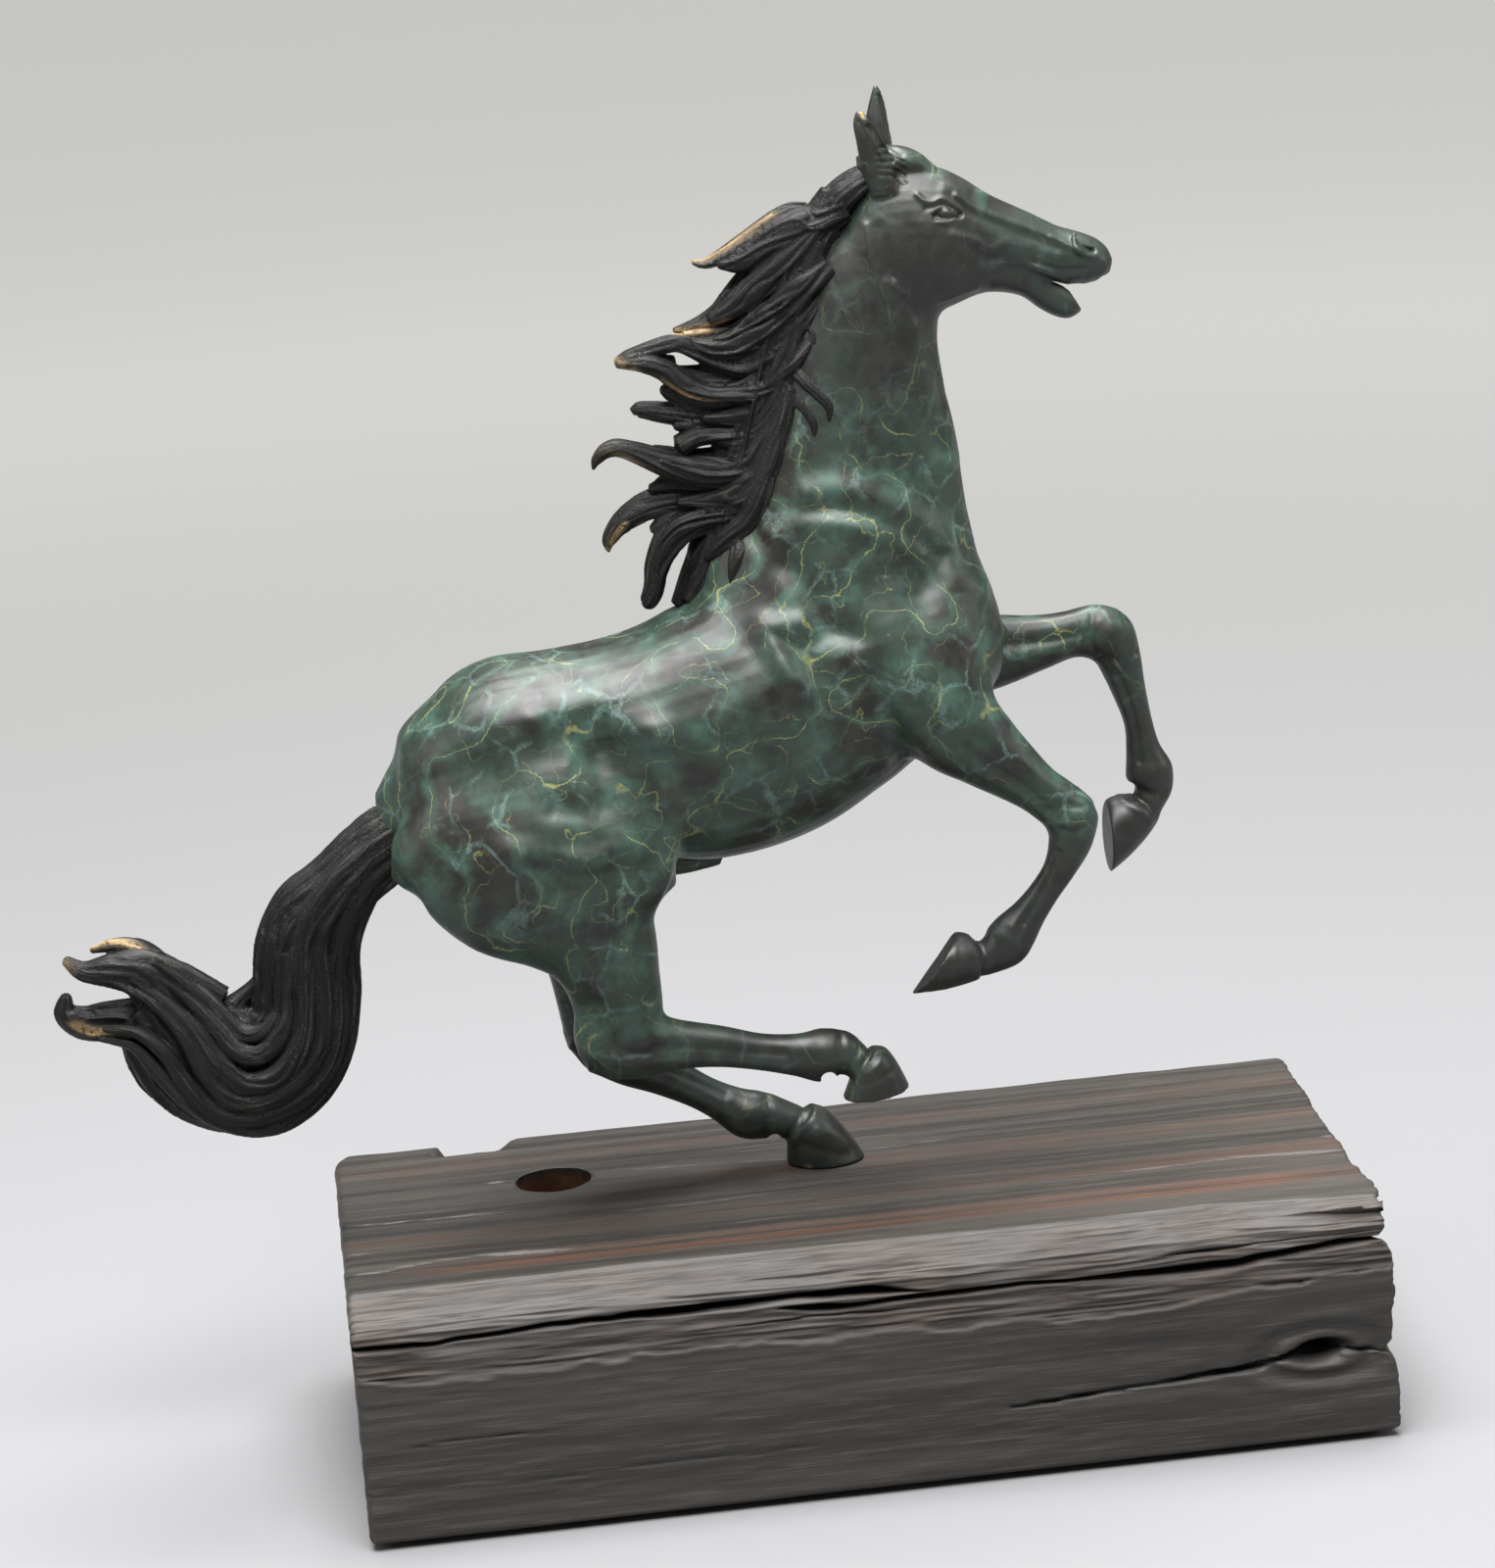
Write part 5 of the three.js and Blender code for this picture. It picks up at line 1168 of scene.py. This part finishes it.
# ---- materials ------------------------------------------------------------------------------------
class Nodes:
    """Short names for building a node tree."""

    def __init__(self, name):
        self.material = bpy.data.materials.new(name)
        self.material.use_nodes = True
        self.tree = self.material.node_tree
        self.shader = self.tree.nodes["Principled BSDF"]

    def put(self, socket, value):
        if isinstance(value, bpy.types.NodeSocket):
            self.tree.links.new(value, socket)
        elif isinstance(value, tuple) and len(value) == 3 and socket.type == "RGBA":
            socket.default_value = (*value, 1)
        else:
            socket.default_value = value

    def node(self, kind, output=0, settings=None, **inputs):
        """A node's output; inputs go by name, with _ for a space, or by number, as i0, i1."""
        made = self.tree.nodes.new(kind)
        for key, value in (settings or {}).items():
            setattr(made, key, value)
        for key, value in inputs.items():
            name = key.replace("_", " ")
            self.put(made.inputs[name if name in made.inputs else int(key[1:])], value)
        return made.outputs[output]

    def coordinates(self, scale=(1, 1, 1), offset=(0, 0, 0)):
        at = self.node("ShaderNodeTexCoord", "Object")
        return self.node("ShaderNodeMapping", Vector=at, Scale=scale, Location=offset)

    def attribute(self, name):
        return self.node("ShaderNodeAttribute", "Fac", {"attribute_name": name})

    def noise(self, vector, scale, detail=4, rough=0.55, distortion=0.0):
        return self.node("ShaderNodeTexNoise", "Fac", Vector=vector, Scale=scale, Detail=detail,
                         Roughness=rough, Distortion=distortion)

    def bent(self, vector, scale, amount, detail=3):
        """A vector field pushed about by noise."""
        push = self.node("ShaderNodeTexNoise", "Color", Vector=vector, Scale=scale, Detail=detail)
        centred = self.vector("SUBTRACT", i0=push, i1=(0.5, 0.5, 0.5))
        return self.vector("ADD", i0=vector, i1=self.vector("SCALE", i0=centred, Scale=amount))

    def vector(self, operation, **inputs):
        return self.node("ShaderNodeVectorMath", 0, {"operation": operation}, **inputs)

    def math(self, operation, a, b=0.0):
        return self.node("ShaderNodeMath", 0, {"operation": operation}, i0=a, i1=b)

    def times(self, a, b):
        return self.math("MULTIPLY", a, b)

    def between(self, value, low, high, to_low=0.0, to_high=1.0):
        """value from low..high smoothly onto to_low..to_high."""
        return self.node("ShaderNodeMapRange", 0, {"interpolation_type": "SMOOTHSTEP"}, i0=value, i1=low,
                         i2=high, i3=to_low, i4=to_high)

    def mix(self, share, a, b):
        return self.node("ShaderNodeMix", 2, {"data_type": "RGBA"}, i0=share, i6=a, i7=b)

    def bump(self, height, strength, distance):
        return self.node("ShaderNodeBump", Height=height, Strength=strength, Distance=distance)

    def finish(self, **inputs):
        for key, value in inputs.items():
            self.put(self.shader.inputs[key.replace("_", " ")], value)
        return self.material


MM = 1000.0  # noise scales are per metre; MM / 30 has features about 30 mm across


def off_level(n, field, level=0.5):
    """How far a noise field is from a level: nought along rounded, closed loops."""
    return n.math("ABSOLUTE", n.math("SUBTRACT", field, level))


def patinated_bronze():
    n = Nodes("patinated_bronze")
    at = n.coordinates()
    ragged = n.bent(n.bent(at, MM / 9, 0.0042, 2), MM / 2.2, 0.0017, 4)
    other = n.bent(n.bent(n.coordinates(offset=(0.37, 0.11, 0.53)), MM / 10, 0.006, 3), MM / 2.6, 0.002, 4)
    tide = off_level(n, n.noise(ragged, MM / 25, 0.6, 0.4))
    tide_2 = off_level(n, n.noise(other, MM / 17, 0.8, 0.4), 0.47)
    clouds = n.noise(at, MM / 40, 4, 0.6)
    small_clouds = n.noise(ragged, MM / 11, 5, 0.68)
    speckle = n.noise(at, MM / 0.9, 4, 0.7)
    brown, black = (0.014, 0.0133, 0.0095), (0.0055, 0.006, 0.0048)
    green, teal = (0.016, 0.031, 0.0215), (0.03, 0.066, 0.05)
    pale, gold = (0.15, 0.25, 0.23), (0.27, 0.27, 0.09)
    # dark hearts, with a green glaze beside the tide lines
    hearts = n.mix(n.between(small_clouds, 0.4, 0.62), black, brown)
    glazed = n.times(n.between(tide, 0.02, 0.11, 1.0, 0.0), n.between(small_clouds, 0.3, 0.56, 0.4, 1.0))
    glazed = n.math("MAXIMUM", glazed, n.between(clouds, 0.40, 0.60, 0.0, 0.9))
    glaze = n.mix(n.between(n.noise(ragged, MM / 15, 4, 0.6), 0.42, 0.66), green, teal)
    base = n.mix(glazed, hearts, glaze)
    # fine pale wisps
    cracks = n.node("ShaderNodeTexVoronoi", "Distance", {"feature": "DISTANCE_TO_EDGE"}, Vector=other,
                    Scale=MM / 21)
    wisps = n.times(n.between(cracks, 0.01, 0.06, 1.0, 0.0),
                    n.between(n.noise(at, MM / 24, 3, 0.6), 0.46, 0.66))
    wisps = n.times(wisps, n.between(speckle, 0.36, 0.6, 0.2, 1.0))
    base = n.mix(n.times(wisps, 0.36), base, pale)
    # thin, grainy, broken yellow-green tide lines
    lines = n.math("MAXIMUM", n.between(tide, 0.001, 0.0085, 1.0, 0.0),
                   n.times(n.between(tide_2, 0.001, 0.008, 1.0, 0.0), 0.55))
    strength = n.between(n.noise(at, MM / 17, 3, 0.6), 0.38, 0.64, 0.08, 0.65)
    grainy = n.between(speckle, 0.34, 0.58, 0.25, 1.0)
    lines = n.times(lines, n.times(strength, grainy))
    base = n.mix(lines, base, gold)
    base = n.mix(n.between(speckle, 0.56, 0.74, 0.0, 0.3), base, (0.075, 0.085, 0.06))
    # painted shade: a browner near-black laid where the dark mask is strong
    painted_shade_tone = n.mix(n.between(small_clouds, 0.35, 0.65), (0.007, 0.007, 0.0063), (0.014, 0.0136, 0.012))
    base = n.mix(n.times(n.attribute("dark"), 0.88), base, painted_shade_tone)
    # bright metal where the ear's tip is rubbed, and a painted coppery glint at the planted hoof's foot
    base = n.mix(n.attribute("rubbed_and_glint"), base, (0.36, 0.24, 0.09))
    rough = n.between(n.noise(at, MM / 12, 4, 0.6), 0.3, 0.7, 0.4, 0.51)
    rough = n.math("ADD", rough, n.times(n.math("SUBTRACT", speckle, 0.5), 0.14))
    ripple = n.noise(at, MM / 8, 3, 0.5)
    height = n.math("ADD", n.times(speckle, 0.2), n.times(ripple, 0.35))
    return n.finish(Base_Color=base, Roughness=rough, Normal=n.bump(height, 0.3, 0.0004),
                    Specular_IOR_Level=0.42, Coat_Weight=0.05, Coat_Roughness=0.3)


def dark_bronze_hair():
    n = Nodes("dark_bronze_hair")
    at = n.coordinates()
    threads = n.node("ShaderNodeCombineXYZ", X=n.times(n.attribute("strand"), 2.4),
                     Y=n.times(n.attribute("along"), 0.03))
    fine = n.noise(threads, 1.0, 3, 0.65)
    clouds = n.between(n.noise(at, MM / 18), 0.4, 0.65)
    base = n.mix(clouds, (0.0022, 0.0022, 0.002), (0.0048, 0.0047, 0.0043))
    base = n.mix(n.between(fine, 0.52, 0.68, 0.0, 0.7), base, (0.034, 0.032, 0.028))
    base = n.mix(n.between(n.attribute("hollow"), 0.25, 0.8, 0.0, 0.92), base, (0.0025, 0.0025, 0.0025))
    patchy = n.between(n.noise(at, MM / 2.2, 4, 0.65), 0.34, 0.5, 0.15, 1.0)
    worn = n.times(n.attribute("rubbed_and_glint"), patchy)
    base = n.mix(worn, base, (0.27, 0.185, 0.09))
    rough = n.between(n.noise(at, MM / 10, 4), 0.3, 0.7, 0.42, 0.56)
    height = n.math("ADD", fine, n.times(n.noise(at, MM / 0.9, 3, 0.6), 0.25))
    return n.finish(Base_Color=base, Roughness=rough, Normal=n.bump(height, 0.8, 0.0012),
                    Specular_IOR_Level=0.24)


BRONZE = patinated_bronze()
HAIR = dark_bronze_hair()


def sleeper_timber():
    n = Nodes("sleeper_timber")
    at = n.coordinates()
    along = n.coordinates(scale=(0.045, 1, 1))
    longer = n.coordinates(scale=(0.02, 1, 1))
    bent = n.bent(along, MM / 60, 0.004, 2)
    fine = n.noise(bent, MM / 1.3, 4, 0.6)
    coarse = n.noise(n.bent(longer, MM / 90, 0.006, 2), MM / 7, 4, 0.6)
    base = n.mix(n.between(coarse, 0.36, 0.64), (0.017, 0.0155, 0.0135), (0.036, 0.031, 0.026))
    base = n.mix(n.between(fine, 0.52, 0.74, 0.0, 0.6), base, (0.072, 0.062, 0.053))
    base = n.mix(n.between(fine, 0.28, 0.42, 0.55, 0.0), base, (0.012, 0.010, 0.009))
    red = n.times(n.attribute("red"), n.between(n.noise(longer, MM / 5, 3, 0.6), 0.3, 0.62))
    base = n.mix(n.times(red, 0.8), base, (0.09, 0.036, 0.018))
    splinters = n.between(n.noise(bent, MM / 2.6, 4, 0.65), 0.36, 0.64)
    worn = n.mix(splinters, (0.022, 0.018, 0.0155), (0.072, 0.058, 0.049))
    worn = n.mix(n.between(n.noise(at, MM / 60, 3, 0.5), 0.44, 0.64, 0.0, 0.7), worn, (0.055, 0.052, 0.050))
    worn = n.mix(n.between(fine, 0.3, 0.45, 0.75, 0.0), worn, (0.018, 0.015, 0.013))
    base = n.mix(n.attribute("worn"), base, worn)
    heart = n.bent(n.coordinates(offset=(0, 0.04, -0.01)), MM / 40, 0.01)
    year_rings = n.node("ShaderNodeTexWave", "Fac", {"wave_type": "RINGS", "rings_direction": "X"},
                        Vector=heart, Scale=75.0, Distortion=2.0, Detail=3.0)
    end = n.mix(n.between(year_rings, 0.3, 0.8), (0.035, 0.028, 0.022), (0.115, 0.085, 0.06))
    base = n.mix(n.attribute("endgrain"), base, end)
    rust = n.mix(n.noise(at, MM / 8, 3), (0.025, 0.012, 0.007), (0.16, 0.07, 0.03))
    base = n.mix(n.times(n.attribute("bore"), 0.85), base, rust)
    # painted shade: near-black inside the cracks and the knot hole
    base = n.mix(n.attribute("deep"), base, (0.006, 0.005, 0.0045))
    rough = n.between(coarse, 0.3, 0.7, 0.42, 0.56)
    rough = n.math("ADD", rough, n.times(n.attribute("worn"), 0.2))
    rough = n.math("ADD", rough, n.times(n.attribute("sawn"), 0.14))
    height = n.math("ADD", n.times(fine, 0.6), n.times(n.noise(bent, MM / 0.6, 3, 0.6), 0.5))
    return n.finish(Base_Color=base, Roughness=rough, Normal=n.bump(height, 0.5, 0.0006))


def zinc_steel():
    n = Nodes("zinc_steel")
    at = n.coordinates()
    spangle = n.node("ShaderNodeTexVoronoi", "Color", Vector=at, Scale=MM / 2.5)
    tone = n.mix(0.12, (0.50, 0.51, 0.52), spangle)
    base = n.mix(n.between(n.noise(at, MM / 6, 4, 0.6), 0.55, 0.75, 0.0, 0.5), tone, (0.24, 0.22, 0.20))
    rough = n.between(n.noise(at, MM / 3), 0.3, 0.7, 0.28, 0.5)
    grain = n.bump(n.noise(at, MM / 0.8, 3), 0.3, 0.0001)
    return n.finish(Base_Color=base, Metallic=1.0, Roughness=rough, Normal=grain)


def felt():
    n = Nodes("felt")
    fuzz = n.noise(n.coordinates(), MM / 0.45, 4, 0.7, distortion=1.5)
    base = n.mix(fuzz, (0.010, 0.010, 0.011), (0.035, 0.034, 0.034))
    return n.finish(Base_Color=base, Roughness=0.95, Normal=n.bump(fuzz, 0.8, 0.0005),
                    Specular_IOR_Level=0.2, Sheen_Weight=0.4, Sheen_Roughness=0.5)


TIMBER = sleeper_timber()
STEEL = zinc_steel()
FELT = felt()


# ---- masks and finishing --------------------------------------------------------------------------
def points_of(obj):
    """A piece's vertices in this script's millimetres."""
    co = np.empty(len(obj.data.vertices) * 3, np.float32)
    obj.data.vertices.foreach_get("co", co)
    return co.reshape(-1, 3).astype(float) * 1000 - [SHIFT_X, 0, 0]


def near_lines(points, lines):
    """1 on any of the lines, falling to 0 a few widths away."""
    out = np.zeros(len(points))
    for width, line in lines:
        line = np.array(line, float)
        low, high = line.min(0) - 4 * width, line.max(0) + 4 * width
        near = np.nonzero(np.all((points > low) & (points < high), axis=1))[0]
        if len(near):
            d = distance_to_line(points[near], smooth_line(line, 30))
            out[near] = np.maximum(out[near], np.exp(-0.5 * (d / width) ** 2))
    return out


def dress(obj, node, material):
    obj.data.materials.clear()
    obj.data.materials.append(material)
    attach(obj, "root")
    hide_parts(node)


# Painted shade darkens the legs, head, ears and the neck under the mane more than the body.
for node, obj in pieces.items():
    spots = points_of(obj)
    if "hair" in obj.name:
        set_mask(obj, "rubbed_and_glint", near_lines(spots, GOLD_LINES))
        dress(obj, node, HAIR)
        continue
    # the dark mask is painted shade, in a browner tone
    dark = np.zeros(len(spots))
    for x, y, z, reach, strength in PAINTED_SHADE_PLACES:
        d = np.linalg.norm(spots - [x, y, z], axis=1)
        dark = np.maximum(dark, strength * np.clip(1.6 - d / reach, 0, 1))
    set_mask(obj, "dark", dark)
    set_mask(obj, "rubbed_and_glint", near_lines(spots, RUBBED_AND_GLINT_LINES))
    dress(obj, node, BRONZE)

x, y, z = points_of(block).T
# Red streaks along the top: y, half width and strength.
RED_STREAKS = [(-57, 8, 1), (-22, 7, 0.45), (20, 12, 0.35), (70, 9, 0.3)]
red = [share * np.exp(-(((y - middle) / half) ** 2)) for middle, half, share in RED_STREAKS]
red[0] *= np.clip((x + 200) / 60, 0, 1) * np.clip((215 - x) / 40, 0.35, 1)
red[2] *= x > -60
set_mask(block, "red", np.clip(sum(red), 0, 1) * (z > 98))
from_hole = np.hypot(x - SPIKE_HOLE_AT[0], y - SPIKE_HOLE_AT[1])
set_mask(block, "bore", (from_hole < 17.2) * np.clip((BLOCK_TOP - 1.0 - z) / 3, 0, 1))
set_mask(block, "sawn", y < -101)
dress(block, "wood_block", TIMBER)

for name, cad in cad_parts.items():
    finish = STEEL if name.startswith(("mounting", "stud")) else FELT if name.startswith("foot") else None
    if finish:
        cad.data.materials.clear()
        cad.data.materials.append(finish)


# ---- floor, light and camera ----------------------------------------------------------------------
HORSE_MIDDLE = Vector((0, 0, 0.3))
CAMERA_AT = Vector((-0.15464, -1.89726, 0.76865))
CAMERA_YAW, CAMERA_PITCH, CAMERA_ROLL = 5.4544, 14.3565, -4.3294


def studio():
    scene = bpy.context.scene
    bpy.ops.mesh.primitive_plane_add(size=40)
    floor = bpy.context.object
    floor.name = "floor"
    n = Nodes("pale_floor")
    ground = n.node("ShaderNodeTexCoord", "Object")
    away = n.node("ShaderNodeVectorMath", "Value", {"operation": "LENGTH"}, i0=ground)
    far = n.between(away, 0.35, 3.2)
    shade = n.mix(far, (0.205, 0.205, 0.21), (0.17, 0.169, 0.164))
    glow = n.mix(far, (0.0, 0.0, 0.0), (0.53, 0.527, 0.503))
    floor.data.materials.append(n.finish(Base_Color=shade, Roughness=0.8, Specular_IOR_Level=0.1,
                                         Emission_Color=glow, Emission_Strength=1.0))

    world = bpy.data.worlds.new("soft_room")
    scene.world = world
    world.use_nodes = True
    nodes, links = world.node_tree.nodes, world.node_tree.links
    background = nodes["Background"]
    background.inputs["Color"].default_value = (1.0, 0.995, 0.975, 1)
    background.inputs["Strength"].default_value = 0.17
    # where the camera looks past the floor's edge, the wall is as pale as the far floor
    wall = nodes.new("ShaderNodeBackground")
    wall.inputs["Color"].default_value = (0.557, 0.554, 0.53, 1)
    seen = nodes.new("ShaderNodeMixShader")
    links.new(nodes.new("ShaderNodeLightPath").outputs["Is Camera Ray"], seen.inputs[0])
    links.new(background.outputs[0], seen.inputs[1])
    links.new(wall.outputs[0], seen.inputs[2])
    links.new(seen.outputs[0], nodes["World Output"].inputs["Surface"])

    for name, at, width, height, power in (
        ("key", (0.1, -1.2, 2.2), 1.6, 0.8, 80), ("overhead", (-0.1, 0.1, 2.3), 2.2, 1.3, 168),
        ("left", (-1.9, -0.6, 1.2), 0.7, 1.0, 9), ("right", (1.9, -0.4, 1.1), 0.7, 1.0, 9),
    ):
        light = bpy.data.lights.new(name, "AREA")
        light.shape, light.size, light.size_y, light.energy = "RECTANGLE", width, height, power
        lamp = bpy.data.objects.new(name, light)
        lamp.location = at
        lamp.rotation_euler = (HORSE_MIDDLE - lamp.location).to_track_quat("-Z", "Y").to_euler()
        scene.collection.objects.link(lamp)

    # The camera looks down on the statue's right side from a little behind its shoulder.
    yaw, pitch, roll = (math.radians(a) for a in (CAMERA_YAW, CAMERA_PITCH, CAMERA_ROLL))
    ahead = Vector((math.sin(yaw) * math.cos(pitch), math.cos(yaw) * math.cos(pitch), -math.sin(pitch)))
    level = Vector((math.cos(yaw), -math.sin(yaw), 0))
    over = level.cross(ahead)
    right = math.cos(roll) * level + math.sin(roll) * over
    up = math.cos(roll) * over - math.sin(roll) * level
    camera_data = bpy.data.cameras.new("camera")
    camera_data.lens = 108.01
    camera_data.sensor_width = 36
    camera_data.clip_end = 60
    camera = bpy.data.objects.new("camera", camera_data)
    scene.collection.objects.link(camera)
    turned = Matrix((right, up, -ahead)).transposed().to_4x4()
    camera.matrix_world = Matrix.Translation(CAMERA_AT) @ turned
    scene.camera = camera
    scene.view_settings.view_transform = "Standard"


studio()
